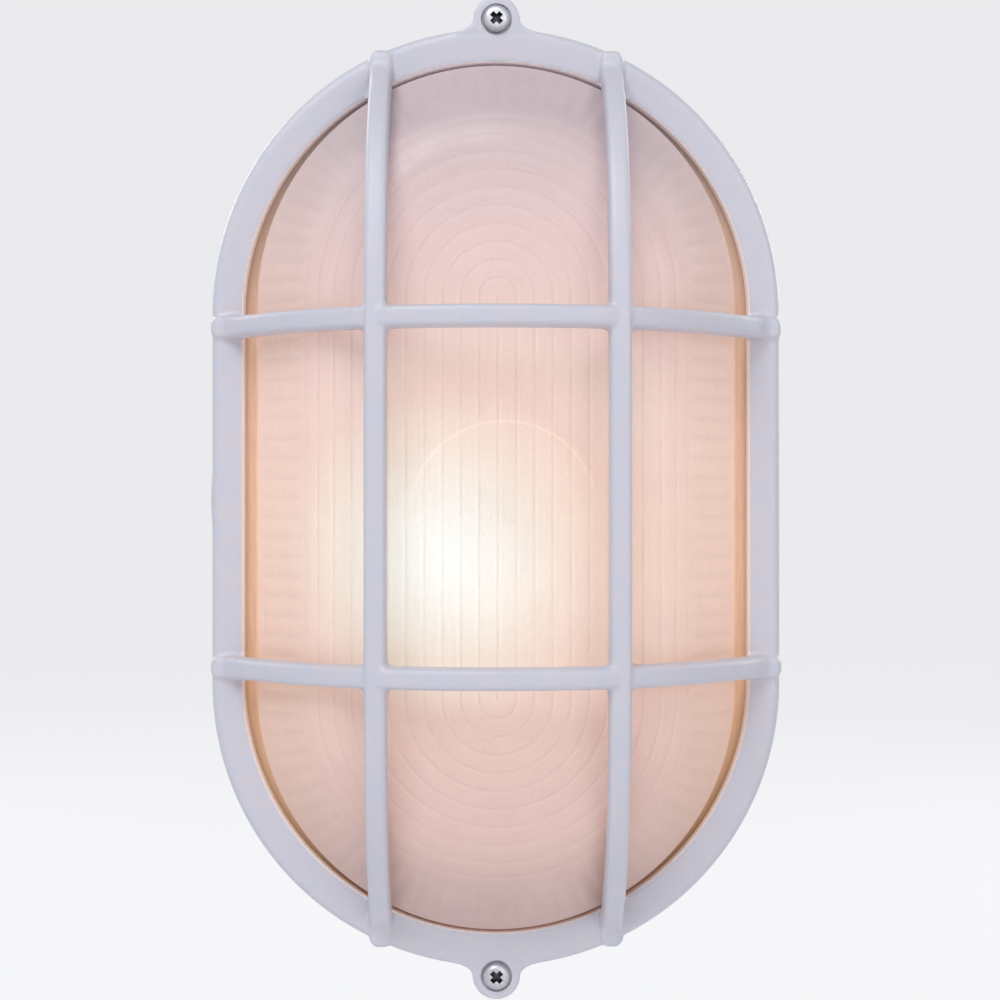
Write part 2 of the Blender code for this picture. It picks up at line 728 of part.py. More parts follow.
def build_cover_screws():
    for up, word in ((1, "top"), (-1, "bottom")):
        seat = ring_face - EAR_RECESS_DEPTH + TOUCH_GAP
        screw(
            "cover_screw_" + word, COVER_SCREW, COVER_SCREW_LENGTH,
            (0, -seat, up * ear_z), FACING_ROOM, zinc_steel, steps=COVER_SCREW_STEPS,
        )


def housing_hole(name, radius, spot, start, end, rotation=FACING_ROOM, steps=ROUND_STEPS):
    bm = cylinder(radius, start, end, steps)
    mesh_object(name, bm, housing_holes, None, spot, rotation)


def build_housing():
    """White die-cast dish with its rim, screw lugs, side entries and inner bosses."""
    sections = (
        (back_radius - BACK_ROUND, HALF_STRAIGHT, 0),
        (back_radius, HALF_STRAIGHT, BACK_ROUND),
        (rim_wall_radius, HALF_STRAIGHT, rim_back - RIM_CHAMFER),
        (rim_radius - RIM_CHAMFER, HALF_STRAIGHT, rim_back),
        (rim_radius, HALF_STRAIGHT, rim_back + RIM_CHAMFER),
        (rim_radius, HALF_STRAIGHT, rim_land),
    )
    bm = loft([stadium(*section) for section in sections])
    housing = mesh_object("base_housing", bm, parts, painted_metal)

    out = Vector((0, -1, 0))
    for up, word in ((1, "top"), (-1, "bottom")):
        outline = ear_outline(EAR_RADIUS - LUG_INSET, LUG_FLARE, lug_root_z, up)
        throat = up * (HALF_STRAIGHT + cavity_radius - RIM_WALL)
        outline = [Vector((outline[-1].x, 0, throat)), Vector((outline[0].x, 0, throat))] + outline
        mesh_object("lug_" + word, prism(outline, out, LUG_START, rim_land), housing_outside)
        spot = (0, 0, up * ear_z)
        hole = COVER_SCREW[2] + THREAD_GAP
        housing_hole("lug_hole_" + word, hole, spot, rim_land - LUG_HOLE_DEPTH, rim_land + RIM_THICKNESS)
        spot = (0, 0, up * wall_hole_z)
        housing_hole("wall_hole_" + word, WALL_HOLE_RADIUS, spot, -FLOOR_THICKNESS, 2 * FLOOR_THICKNESS)
    for rotation, word in ((FACING_RIGHT, "right"), (FACING_LEFT, "left")):
        spot = (0, -ENTRY_DEPTH, 0)
        bm = cylinder(ENTRY_BOSS_RADIUS, floor_radius - RIM_WALL, entry_face)
        mesh_object("entry_boss_" + word, bm, housing_outside, None, spot, rotation)
        start = floor_radius - RIM_WALL
        end = entry_face + RIM_WALL
        housing_hole("entry_hole_" + word, ENTRY_BORE_RADIUS, spot, start, end, rotation)

    floor_sections = (
        (seat_radius, HALF_STRAIGHT, rim_land + RIM_THICKNESS),
        (seat_radius, HALF_STRAIGHT, seat_depth),
        (cavity_radius, HALF_STRAIGHT, seat_depth),
        (floor_radius, HALF_STRAIGHT, FLOOR_THICKNESS + BACK_ROUND),
        (floor_radius - BACK_ROUND, HALF_STRAIGHT, FLOOR_THICKNESS),
    )
    bm = loft([stadium(*section) for section in floor_sections])
    cavity = mesh_object("housing_cavity", bm, cutters)

    hole = SMALL_SCREW[2] + THREAD_GAP
    bosses = (
        ("reflector_left", -reflector_boss_x, 0, reflector_back - TOUCH_GAP),
        ("reflector_right", reflector_boss_x, 0, reflector_back - TOUCH_GAP),
        ("earth", EARTH_X, EARTH_Z, FLOOR_THICKNESS + EARTH_BOSS_HEIGHT),
    )
    for word, x, z, top in bosses:
        bm = cylinder(BOSS_RADIUS, FLOOR_THICKNESS / 2, top, SCREW_STEPS)
        mesh_object("boss_" + word, bm, housing_inside, None, (x, 0, z), FACING_ROOM)
        start = max(top - SMALL_SCREW_LENGTH - THREAD_GAP, FLOOR_THICKNESS / 2)
        housing_hole(
            "boss_hole_" + word, hole, (x, 0, z), start, top + RIM_THICKNESS, steps=SCREW_STEPS
        )
    spot = (terminal_middle(), 0, TERMINAL_Z)
    start = FLOOR_THICKNESS / 3
    housing_hole("block_hole", hole, spot, start, 2 * FLOOR_THICKNESS, steps=SCREW_STEPS)
    spot = (0, 0, CABLE_ENTRY_HEIGHT)
    housing_hole("cable_hole", CABLE_ENTRY_RADIUS, spot, -FLOOR_THICKNESS, 2 * FLOOR_THICKNESS)

    boolean(housing, "UNION", housing_outside)
    boolean(housing, "DIFFERENCE", cavity)
    boolean(housing, "UNION", housing_inside)
    boolean(housing, "DIFFERENCE", housing_holes)
    return housing


def build_entries():
    """Blanking plugs with their sealing rings in the side entries, and the rear cable bush."""
    plug_top = entry_face + 2 * TOUCH_GAP + PLUG_SEAL_THICKNESS
    thread_radius = ENTRY_BORE_RADIUS - THREAD_GAP
    for rotation, sign, word in ((FACING_LEFT, -1, "left"), (FACING_RIGHT, 1, "right")):
        profile = [
            (0, PLUG_HEAD_HEIGHT),
            (PLUG_HEAD_RADIUS - PLUG_HEAD_CHAMFER, PLUG_HEAD_HEIGHT),
            (PLUG_HEAD_RADIUS, PLUG_HEAD_HEIGHT - PLUG_HEAD_CHAMFER),
            (PLUG_HEAD_RADIUS, 0),
            (thread_radius, 0),
            (thread_radius, -PLUG_THREAD_LENGTH),
            (0, -PLUG_THREAD_LENGTH),
        ]
        spot = (sign * plug_top, -ENTRY_DEPTH, 0)
        plug = turned("conduit_plug_" + word, profile, parts, plug_metal, spot, rotation)
        bm = cylinder(PLUG_SOCKET_RADIUS, PLUG_HEAD_HEIGHT - PLUG_SOCKET_DEPTH, 2 * PLUG_HEAD_HEIGHT, 6)
        socket = mesh_object("plug_socket_" + word, bm, cutters, None, spot, rotation)
        boolean(plug, "DIFFERENCE", socket)
        inner = thread_radius + TOUCH_GAP
        profile = [
            (inner, PLUG_SEAL_THICKNESS),
            (inner + PLUG_SEAL_WIDTH, PLUG_SEAL_THICKNESS),
            (inner + PLUG_SEAL_WIDTH, 0),
            (inner, 0),
        ]
        spot = (sign * (entry_face + TOUCH_GAP), -ENTRY_DEPTH, 0)
        turned("plug_seal_" + word, profile, parts, rubber, spot, rotation)
    neck = CABLE_ENTRY_RADIUS - TOUCH_GAP
    seat = FLOOR_THICKNESS + TOUCH_GAP
    profile = [
        (GROMMET_BORE_RADIUS, seat + GROMMET_FLANGE_THICKNESS),
        (neck + GROMMET_FLANGE, seat + GROMMET_FLANGE_THICKNESS),
        (neck + GROMMET_FLANGE, seat),
        (neck, seat),
        (neck, TOUCH_GAP),
        (GROMMET_BORE_RADIUS, TOUCH_GAP),
    ]
    turned("cable_grommet", profile, parts, rubber, (0, 0, CABLE_ENTRY_HEIGHT), FACING_ROOM)


def build_reflector():
    """White sheet-metal plate behind the lamp, held by two screws on the housing's bosses."""
    loops = [stadium(reflector_radius, reflector_half, depth) for depth in (reflector_back, REFLECTOR_FRONT)]
    plate = mesh_object("reflector_plate", loft(loops), parts, white_enamel)
    hole = SMALL_SCREW[2] + SCREW_HOLE_GAP
    spots = [
        ("left", -reflector_boss_x, 0, hole),
        ("right", reflector_boss_x, 0, hole),
        ("bracket_left", -BRACKET_SCREW_OFFSET, bracket_screw_z, SMALL_SCREW[2] + THREAD_GAP),
        ("bracket_right", BRACKET_SCREW_OFFSET, bracket_screw_z, SMALL_SCREW[2] + THREAD_GAP),
        ("live", -LEAD_SPREAD, lead_hole_z, LEAD_HOLE_RADIUS),
        ("neutral", LEAD_SPREAD, lead_hole_z, LEAD_HOLE_RADIUS),
    ]
    for word, x, z, radius in spots:
        bm = cylinder(radius, 0, 2 * REFLECTOR_FRONT, SCREW_STEPS)
        mesh_object("plate_hole_" + word, bm, plate_holes, None, (x, 0, z), FACING_ROOM)
    boolean(plate, "DIFFERENCE", plate_holes)
    for sign, word in ((-1, "left"), (1, "right")):
        spot = (sign * reflector_boss_x, -REFLECTOR_FRONT - TOUCH_GAP, 0)
        screw("reflector_screw_" + word, SMALL_SCREW, SMALL_SCREW_LENGTH, spot, FACING_ROOM, zinc_steel)


def build_bracket():
    """Steel strip bent to an L: one leg on the reflector, one shelf under the lampholder."""
    back = bracket_front
    front = back + BRACKET_THICKNESS
    shelf_end = lamp_depth + holder_base_radius * BRACKET_SHELF_SHARE
    inside_corner = (front + BRACKET_BEND, shelf_top + BRACKET_BEND)
    outline = [(shelf_end, shelf_bottom), (shelf_end, shelf_top)]
    for step in range(BEND_STEPS + 1):
        angle = math.pi / 2 * step / BEND_STEPS
        outline.append((inside_corner[0] - BRACKET_BEND * math.sin(angle),
                        inside_corner[1] - BRACKET_BEND * math.cos(angle)))
    outline += [(front, shelf_top + BRACKET_LEG), (back, shelf_top + BRACKET_LEG)]
    outer_bend = BRACKET_BEND + BRACKET_THICKNESS
    for step in range(BEND_STEPS + 1):
        angle = math.pi / 2 * (1 - step / BEND_STEPS)
        outline.append((inside_corner[0] - outer_bend * math.sin(angle),
                        inside_corner[1] - outer_bend * math.cos(angle)))
    points = [Vector((0, -depth, z)) for depth, z in outline]
    bm = prism(points, Vector((1, 0, 0)), -BRACKET_WIDTH / 2, BRACKET_WIDTH / 2)
    bracket = mesh_object("lampholder_bracket", bm, parts, zinc_steel)
    hole = SMALL_SCREW[2] + SCREW_HOLE_GAP
    for sign, word in ((-1, "left"), (1, "right")):
        spot = (sign * BRACKET_SCREW_OFFSET, 0, bracket_screw_z)
        bm = cylinder(hole, REFLECTOR_FRONT / 2, 2 * REFLECTOR_FRONT, SCREW_STEPS)
        mesh_object("bracket_hole_" + word, bm, bracket_holes, None, spot, FACING_ROOM)
        spot = (sign * BRACKET_SCREW_OFFSET, -front - TOUCH_GAP, bracket_screw_z)
        screw("bracket_screw_" + word, SMALL_SCREW, SMALL_SCREW_LENGTH, spot, FACING_ROOM, zinc_steel)
        spot = (sign * HOLDER_SCREW_OFFSET, -lamp_depth, 0)
        bm = cylinder(hole, shelf_bottom - BRACKET_THICKNESS, shelf_top + BRACKET_THICKNESS, SCREW_STEPS)
        mesh_object("shelf_hole_" + word, bm, bracket_holes, None, spot)
        spot = (sign * HOLDER_SCREW_OFFSET, -lamp_depth, shelf_bottom - TOUCH_GAP)
        screw("holder_screw_" + word, SMALL_SCREW, SMALL_SCREW_LENGTH, spot, FACING_GROUND, zinc_steel)
    boolean(bracket, "DIFFERENCE", bracket_holes)


def build_lampholder():
    """Porcelain lampholder with its threaded sleeve and centre contact."""
    spot = (0, -lamp_depth, 0)
    waist = holder_floor_z + SLEEVE_LENGTH * HOLDER_WAIST_SHARE
    profile = [
        (holder_bore_radius, holder_top),
        (holder_bore_radius + HOLDER_WALL - HOLDER_CHAMFER, holder_top),
        (holder_bore_radius + HOLDER_WALL, holder_top - HOLDER_CHAMFER),
        (holder_bore_radius + HOLDER_WALL, waist),
        (holder_base_radius, waist - HOLDER_WAIST_SLOPE),
        (holder_base_radius, holder_bottom + HOLDER_CHAMFER),
        (holder_base_radius - HOLDER_CHAMFER, holder_bottom),
        (0, holder_bottom),
    ]
    floor = [(0, holder_floor_z), (holder_bore_radius, holder_floor_z)]
    body = turned("lampholder_body", floor + profile, parts, porcelain, spot, steps=ROUND_STEPS)
    hole = SMALL_SCREW[2] + THREAD_GAP
    for sign, word in ((-1, "left"), (1, "right")):
        hole_spot = (sign * HOLDER_SCREW_OFFSET, -lamp_depth, 0)
        top = holder_bottom + SMALL_SCREW_LENGTH
        bm = cylinder(hole, holder_bottom - HOLDER_FLOOR, top, SCREW_STEPS)
        mesh_object("holder_hole_" + word, bm, holder_holes, None, hole_spot)
    boolean(body, "DIFFERENCE", holder_holes)
    low = holder_floor_z + TOUCH_GAP
    profile = [
        (sleeve_inner_radius, low + SLEEVE_LENGTH),
        (sleeve_outer_radius, low + SLEEVE_LENGTH),
        (sleeve_outer_radius, low),
        (sleeve_inner_radius, low),
    ]
    turned("lampholder_sleeve", profile, parts, plated_brass, spot, steps=ROUND_STEPS)
    profile = [
        (0, low + CONTACT_HEIGHT),
        (CONTACT_RADIUS * 0.6, low + CONTACT_HEIGHT),
        (CONTACT_RADIUS, low + CONTACT_HEIGHT * 0.5),
        (CONTACT_RADIUS, low),
        (0, low),
    ]
    turned("lampholder_contact", profile, parts, plated_brass, spot, steps=SCREW_STEPS)


def build_lamp():
    """Round-topped lamp: glass bulb, tapered neck and screw cap in one sealed piece."""
    middle = lamp_top - LAMP_RADIUS
    neck = lamp_bottom + LAMP_CAP_LENGTH + LAMP_NECK_LENGTH
    profile = []
    for step in range(BULB_STEPS + 1):
        angle = math.pi / 2 + (LAMP_BULB_END - math.pi / 2) * step / BULB_STEPS
        profile.append((LAMP_RADIUS * math.cos(angle), middle + LAMP_RADIUS * math.sin(angle)))
    start = profile[-1]
    for step in range(1, 3):
        share = step / 3
        ease = 1 - (1 - share) ** 2
        profile.append((start[0] + (LAMP_CAP_RADIUS - start[0]) * ease,
                        start[1] + (neck - start[1]) * share))
    cap_foot = lamp_bottom + LAMP_TIP_HEIGHT + LAMP_CAP_TAPER
    profile += [
        (LAMP_CAP_RADIUS, neck),
        (LAMP_CAP_RADIUS, cap_foot),
        (LAMP_CAP_RADIUS - LAMP_CAP_TAPER, cap_foot - LAMP_CAP_TAPER),
        (LAMP_TIP_RADIUS, lamp_bottom + LAMP_TIP_ROUND),
        (LAMP_TIP_RADIUS - LAMP_TIP_ROUND, lamp_bottom),
        (0, lamp_bottom),
    ]
    profile[0] = (0, lamp_top)
    turned("lamp", profile, parts, lamp_glass, (0, -lamp_depth, 0))


def terminal_x(way):
    return TERMINAL_X + TERMINAL_PITCH * (way - (TERMINAL_WAYS - 1) / 2)


def terminal_middle():
    """The block's own screw stands between its first two ways."""
    return terminal_x(0) + TERMINAL_PITCH / 2


def build_terminals():
    """Terminal block on the housing's floor with its clamping screws, and the earth screw."""
    low = FLOOR_THICKNESS + TOUCH_GAP
    top = low + TERMINAL_HEIGHT
    half_width = TERMINAL_PITCH * TERMINAL_WAYS / 2
    half_length = TERMINAL_LENGTH / 2
    bm = bmesh.new()
    bmesh.ops.create_cube(bm, size=1)
    bmesh.ops.scale(bm, vec=(2 * half_width, TERMINAL_HEIGHT, TERMINAL_LENGTH), verts=bm.verts)
    bmesh.ops.translate(bm, vec=(TERMINAL_X, -(low + top) / 2, TERMINAL_Z), verts=bm.verts)
    block = mesh_object("terminal_block", bm, parts, moulded_nylon)
    entry_depth = low + TERMINAL_HEIGHT * TERMINAL_ENTRY_SHARE
    clamp_hole = TERMINAL_SCREW[2] + THREAD_GAP
    clamp_well = TERMINAL_SCREW[0] + SCREW_HOLE_GAP
    well_floor = top - TERMINAL_SCREW[1] - TOUCH_GAP
    for way in range(TERMINAL_WAYS):
        x = terminal_x(way)
        start = TERMINAL_Z - half_length - TERMINAL_ENTRY_LENGTH
        bm = cylinder(TERMINAL_ENTRY_RADIUS, start, start + 2 * TERMINAL_ENTRY_LENGTH, SCREW_STEPS)
        mesh_object(f"entry_{way}", bm, block_holes, None, (x, -entry_depth, 0))
        bm = cylinder(clamp_well, well_floor, top + TERMINAL_HEIGHT, SCREW_STEPS)
        mesh_object(f"well_{way}", bm, block_holes, None, (x, 0, TERMINAL_Z), FACING_ROOM)
        bm = cylinder(
            clamp_hole, well_floor - TERMINAL_SCREW_LENGTH - THREAD_GAP, top, SCREW_STEPS
        )
        mesh_object(f"clamp_{way}", bm, block_holes, None, (x, 0, TERMINAL_Z), FACING_ROOM)
        spot = (x, -well_floor - TOUCH_GAP, TERMINAL_Z)
        screw(
            f"terminal_screw_{way + 1}", TERMINAL_SCREW, TERMINAL_SCREW_LENGTH,
            spot, FACING_ROOM, brass, cross=False,
        )
    head_seat = low + TERMINAL_HEIGHT * BLOCK_SCREW_SEAT_SHARE
    spot = (terminal_middle(), 0, TERMINAL_Z)
    bm = cylinder(SMALL_SCREW[0] + SCREW_HOLE_GAP, head_seat, top + TERMINAL_HEIGHT, SCREW_STEPS)
    mesh_object("block_well", bm, block_holes, None, spot, FACING_ROOM)
    bm = cylinder(SMALL_SCREW[2] + SCREW_HOLE_GAP, 0, top, SCREW_STEPS)
    mesh_object("block_bore", bm, block_holes, None, spot, FACING_ROOM)
    boolean(block, "DIFFERENCE", block_holes)
    spot = (terminal_middle(), -head_seat - TOUCH_GAP, TERMINAL_Z)
    length = head_seat + TOUCH_GAP - FLOOR_THICKNESS / 3 - THREAD_GAP
    screw("terminal_block_screw", SMALL_SCREW, length, spot, FACING_ROOM, zinc_steel)
    earth_seat = FLOOR_THICKNESS + EARTH_BOSS_HEIGHT + TOUCH_GAP
    spot = (EARTH_X, -earth_seat - 2 * (LEAD_RADIUS + TOUCH_GAP), EARTH_Z)
    screw("earth_screw", SMALL_SCREW, SMALL_SCREW_LENGTH, spot, FACING_ROOM, brass)


def smooth_route(points, steps):
    """Points along a smooth curve through the given ones, a few to each stretch."""
    route = [Vector(point) for point in points]
    ends = [route[0] * 2 - route[1]] + route + [route[-1] * 2 - route[-2]]
    smooth = []
    for a, b, c, d in zip(ends, ends[1:], ends[2:], ends[3:]):
        for step in range(steps):
            t = step / steps
            spot = b * 2 + (c - a) * t + (a * 2 - b * 5 + c * 4 - d) * t ** 2
            spot += (b * 3 - a - c * 3 + d) * t ** 3
            smooth.append(spot / 2)
    smooth.append(route[-1])
    return smooth


def lead(name, points, material):
    curve = bpy.data.curves.new(name, "CURVE")
    curve.dimensions = "3D"
    curve.bevel_depth = LEAD_RADIUS
    curve.bevel_resolution = 2
    curve.use_fill_caps = True
    spots = smooth_route(points, ROUTE_STEPS)
    spline = curve.splines.new("POLY")
    spline.points.add(len(spots) - 1)
    for point, spot in zip(spline.points, spots):
        point.co = (*spot, 1)
    place(bpy.data.objects.new(name, curve), parts, material)


def build_leads():
    """Short inner leads from the terminal block to the lampholder and to the earth screw."""
    low = FLOOR_THICKNESS + TOUCH_GAP
    depth = low + TERMINAL_HEIGHT * TERMINAL_ENTRY_SHARE
    block_end = TERMINAL_Z - TERMINAL_LENGTH / 2
    start = block_end + TERMINAL_ENTRY_LENGTH - TOUCH_GAP
    behind = reflector_back - 3 * LEAD_RADIUS
    ahead = bracket_front + BRACKET_THICKNESS + SMALL_SCREW[1] + LEAD_RADIUS + 3 * TOUCH_GAP
    far, near, below = LEAD_DROP
    for way, sign, name, material in (
        (0, -1, "lead_live", brown_sleeve),
        (1, 1, "lead_neutral", blue_sleeve),
    ):
        x = terminal_x(way)
        end_x = sign * LEAD_SPREAD
        holder_back = lamp_depth - math.sqrt(holder_base_radius ** 2 - LEAD_SPREAD ** 2)
        points = [
            (x, -depth, start),
            (x, -depth, block_end - LEAD_OUT),
            (x + (end_x - x) * LEAD_SWAY_SHARE, -behind, block_end - LEAD_SWAY),
            (end_x, -behind, lead_hole_z + far),
            (end_x, -behind - LEAD_RADIUS, lead_hole_z + near),
            (end_x, -(behind + ahead) / 2, lead_hole_z),
            (end_x, -ahead + LEAD_RADIUS, lead_hole_z - near),
            (end_x, -ahead, lead_hole_z - below),
            (end_x, -ahead - LEAD_LIFT, lead_end_z + LEAD_END_DROP),
            (end_x, -holder_back + 3 * TOUCH_GAP, lead_end_z),
        ]
        lead(name, points, material)
    x = terminal_x(TERMINAL_WAYS - 1)
    seat = FLOOR_THICKNESS + EARTH_BOSS_HEIGHT + 2 * TOUCH_GAP + LEAD_RADIUS
    shank = SMALL_SCREW[2] + TOUCH_GAP
    points = [
        (x, -depth, start),
        (x, -depth, block_end - EARTH_OUT[0]),
        (x + (EARTH_X - x) * EARTH_SHARES[0], -depth, block_end - EARTH_OUT[1]),
        (x + (EARTH_X - x) * EARTH_SHARES[1], -seat, block_end - EARTH_OUT[2]),
        (EARTH_X, -seat, EARTH_Z - EARTH_OUT[3]),
        (EARTH_X, -seat, EARTH_Z - shank),
    ]
    lead("lead_earth", points, green_sleeve)


remove_all_objects()
scene_root = bpy.context.scene.collection
parts = new_collection("outdoor_wall_light", scene_root)
cutters = new_collection("cutters", scene_root)
guard_castings = new_collection("guard_castings", cutters)
guard_holes = new_collection("guard_holes", cutters)
housing_outside = new_collection("housing_outside", cutters)
housing_inside = new_collection("housing_inside", cutters)
housing_holes = new_collection("housing_holes", cutters)
plate_holes = new_collection("plate_holes", cutters)
bracket_holes = new_collection("bracket_holes", cutters)
holder_holes = new_collection("holder_holes", cutters)
block_holes = new_collection("block_holes", cutters)

painted_metal = new_material("white_painted_casting", (0.70, 0.68, 0.74), 0.42, 0.0)
frosted_glass = new_material("frosted_glass", (0.86, 0.74, 0.70), 0.45, 0.0)
rubber = new_material("black_rubber", (0.03, 0.03, 0.03), 0.75, 0.0)
zinc_steel = new_material("zinc_plated_steel", (0.72, 0.72, 0.70), 0.35, 1.0)
plug_metal = new_material("painted_plug", (0.66, 0.65, 0.70), 0.45, 0.0)
white_enamel = new_material("white_enamel", (0.85, 0.85, 0.83), 0.30, 0.0)
porcelain = new_material("white_porcelain", (0.88, 0.86, 0.82), 0.20, 0.0)
plated_brass = new_material("nickel_plated_brass", (0.75, 0.72, 0.66), 0.28, 1.0)
brass = new_material("brass", (0.78, 0.60, 0.28), 0.30, 1.0)
lamp_glass = new_material("opal_lamp", (0.98, 0.94, 0.86), 0.25, 0.0)
moulded_nylon = new_material("white_nylon", (0.80, 0.79, 0.74), 0.50, 0.0)
brown_sleeve = new_material("brown_sleeve", (0.22, 0.10, 0.05), 0.50, 0.0)
blue_sleeve = new_material("blue_sleeve", (0.06, 0.18, 0.50), 0.50, 0.0)
green_sleeve = new_material("green_sleeve", (0.12, 0.42, 0.10), 0.50, 0.0)

cover_carrier = bpy.data.objects.new("cover_carrier", None)
parts.objects.link(cover_carrier)

build_housing()
build_entries()
build_terminals()
build_leads()
build_reflector()
build_bracket()
build_lampholder()
build_lamp()
build_gaskets()
build_lens()
build_guard()
build_cover_screws()
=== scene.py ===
import math

import bmesh
import bpy
from mathutils import Matrix, Vector
from mathutils.geometry import interpolate_bezier


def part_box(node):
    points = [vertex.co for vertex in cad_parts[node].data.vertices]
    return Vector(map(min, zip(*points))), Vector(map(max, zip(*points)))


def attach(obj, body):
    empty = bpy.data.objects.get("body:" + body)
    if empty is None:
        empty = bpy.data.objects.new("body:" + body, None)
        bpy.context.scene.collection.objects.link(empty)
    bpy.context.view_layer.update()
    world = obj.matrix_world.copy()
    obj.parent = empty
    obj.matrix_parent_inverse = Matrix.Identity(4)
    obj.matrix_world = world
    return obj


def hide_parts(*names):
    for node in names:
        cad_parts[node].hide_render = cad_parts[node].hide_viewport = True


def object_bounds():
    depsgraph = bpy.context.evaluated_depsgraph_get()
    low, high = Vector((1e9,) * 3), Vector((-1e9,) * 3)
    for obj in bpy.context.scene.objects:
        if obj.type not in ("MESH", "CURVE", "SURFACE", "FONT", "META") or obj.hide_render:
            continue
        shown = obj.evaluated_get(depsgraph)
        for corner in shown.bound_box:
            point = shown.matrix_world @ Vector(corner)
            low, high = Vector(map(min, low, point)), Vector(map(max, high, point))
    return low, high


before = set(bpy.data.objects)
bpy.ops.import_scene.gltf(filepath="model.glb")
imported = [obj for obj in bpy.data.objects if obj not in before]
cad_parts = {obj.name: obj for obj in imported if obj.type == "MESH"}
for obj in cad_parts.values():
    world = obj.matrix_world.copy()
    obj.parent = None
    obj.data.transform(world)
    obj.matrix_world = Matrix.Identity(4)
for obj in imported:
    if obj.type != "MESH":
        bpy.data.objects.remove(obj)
cad_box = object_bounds()

# Camera
# The photograph is taken almost square on, from 0.6 m in front of the guard's ring and a step to
# its left, with the light filling its height. Its middle lies a hair right of the light's own middle.
SKIRT_DEPTH = 0.0100
VIEW_DISTANCE = 0.600
VIEW_WIDTH = 0.280
VIEW_OFFSET = (0.0010, -0.0007)
SIDE_STEP = 0.0080
guard_low, guard_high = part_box("guard_cover")
ring_face = SKIRT_DEPTH - guard_high.y

camera_data = bpy.data.cameras.new("square_on")
camera_data.lens = camera_data.sensor_width * VIEW_DISTANCE / VIEW_WIDTH
camera = bpy.data.objects.new("square_on", camera_data)
camera.location = (VIEW_OFFSET[0] - SIDE_STEP, -ring_face - VIEW_DISTANCE, VIEW_OFFSET[1])
camera.rotation_euler = (math.pi / 2, 0, -math.atan(SIDE_STEP / VIEW_DISTANCE))
bpy.context.scene.collection.objects.link(camera)
bpy.context.scene.camera = camera
bpy.context.scene.view_settings.view_transform = "Standard"


# Daylight and floor
# A soft bluish sky from above and in front, a weak warmer fill from the right, and two lamps behind
# for the housing. The floor and the sky show pale to the camera and in gloss, and light nothing more.
PALE = (0.92, 0.92, 0.93, 1)
SKY = (0.76, 0.84, 1.00, 1)
SKY_STRENGTH = 0.40
FLOOR_DROP = 0.16
FLOOR_SIZE = 60
FLOOR_GLOW = 0.85
LAMPS = (
    ("sky_key", (-0.70, -1.60, 1.75), 1.4, 36, (0.90, 0.95, 1.0)),
    ("front_fill", (1.00, -1.80, 0.55), 1.0, 8, (1.0, 0.97, 0.94)),
    ("back_left", (-1.30, 1.30, 0.90), 1.0, 15, (1.0, 1.0, 1.0)),
    ("back_right", (1.30, 1.20, 0.60), 1.0, 13, (1.0, 1.0, 1.0)),
)


def add(tree, kind, inputs=(), **settings):
    """Add a node, set what it is, and link or set its inputs by name or number."""
    node = tree.nodes.new(kind)
    for key, value in settings.items():
        setattr(node, key, value)
    for socket, value in dict(inputs).items():
        if isinstance(value, bpy.types.NodeSocket):
            tree.links.new(value, node.inputs[socket])
        else:
            node.inputs[socket].default_value = value
    return node


def calc(tree, operation, *values):
    return add(tree, "ShaderNodeMath", enumerate(values), operation=operation).outputs[0]


def span(tree, value, start, end, low=0.0, high=1.0):
    """Where a value lies between start and end, held there, as a number from low to high."""
    return add(tree, "ShaderNodeMapRange",
               {"Value": value, "From Min": start, "From Max": end, "To Min": low,
                "To Max": high}).outputs["Result"]


def seen_directly(tree):
    """One for rays that show the background: from the camera, off gloss, or through glass."""
    path = tree.nodes.new("ShaderNodeLightPath")
    shown = calc(tree, "MAXIMUM", path.outputs["Is Camera Ray"], path.outputs["Is Glossy Ray"])
    return calc(tree, "MAXIMUM", shown, path.outputs["Is Transmission Ray"])


floor_share = 1 - FLOOR_GLOW
far_floor = tuple(p * (FLOOR_GLOW + floor_share * SKY_STRENGTH * s) for p, s in zip(PALE[:3], SKY))

world = bpy.data.worlds.new("soft_daylight")
world.use_nodes = True
bpy.context.scene.world = world
tree = world.node_tree
tree.nodes.clear()
sky = add(tree, "ShaderNodeBackground", {"Color": SKY, "Strength": SKY_STRENGTH})
pale = add(tree, "ShaderNodeBackground", {"Color": (*far_floor, 1)})
mix = add(tree, "ShaderNodeMixShader", {0: seen_directly(tree), 1: sky.outputs[0], 2: pale.outputs[0]})
add(tree, "ShaderNodeOutputWorld", {"Surface": mix.outputs[0]})

floor_material = bpy.data.materials.new("pale_floor")
floor_material.use_nodes = True
tree = floor_material.node_tree
tree.nodes.clear()
shade = add(tree, "ShaderNodeBsdfDiffuse", {"Color": (*(p * floor_share for p in PALE[:3]), 1)})
glow = add(tree, "ShaderNodeEmission", {"Color": PALE, "Strength": FLOOR_GLOW})
both = add(tree, "ShaderNodeAddShader", {0: shade.outputs[0], 1: glow.outputs[0]})
plain = add(tree, "ShaderNodeBsdfDiffuse", {"Color": PALE})
mix = add(tree, "ShaderNodeMixShader", {0: seen_directly(tree), 1: plain.outputs[0], 2: both.outputs[0]})
add(tree, "ShaderNodeOutputMaterial", {"Surface": mix.outputs[0]})

bm = bmesh.new()
bmesh.ops.create_grid(bm, size=FLOOR_SIZE / 2)
bmesh.ops.translate(bm, vec=(0, 0, cad_box[0].z - FLOOR_DROP), verts=bm.verts)
floor_mesh = bpy.data.meshes.new("floor")
bm.to_mesh(floor_mesh)
bm.free()
floor_mesh.materials.append(floor_material)
floor = bpy.data.objects.new("floor", floor_mesh)
bpy.context.scene.collection.objects.link(floor)

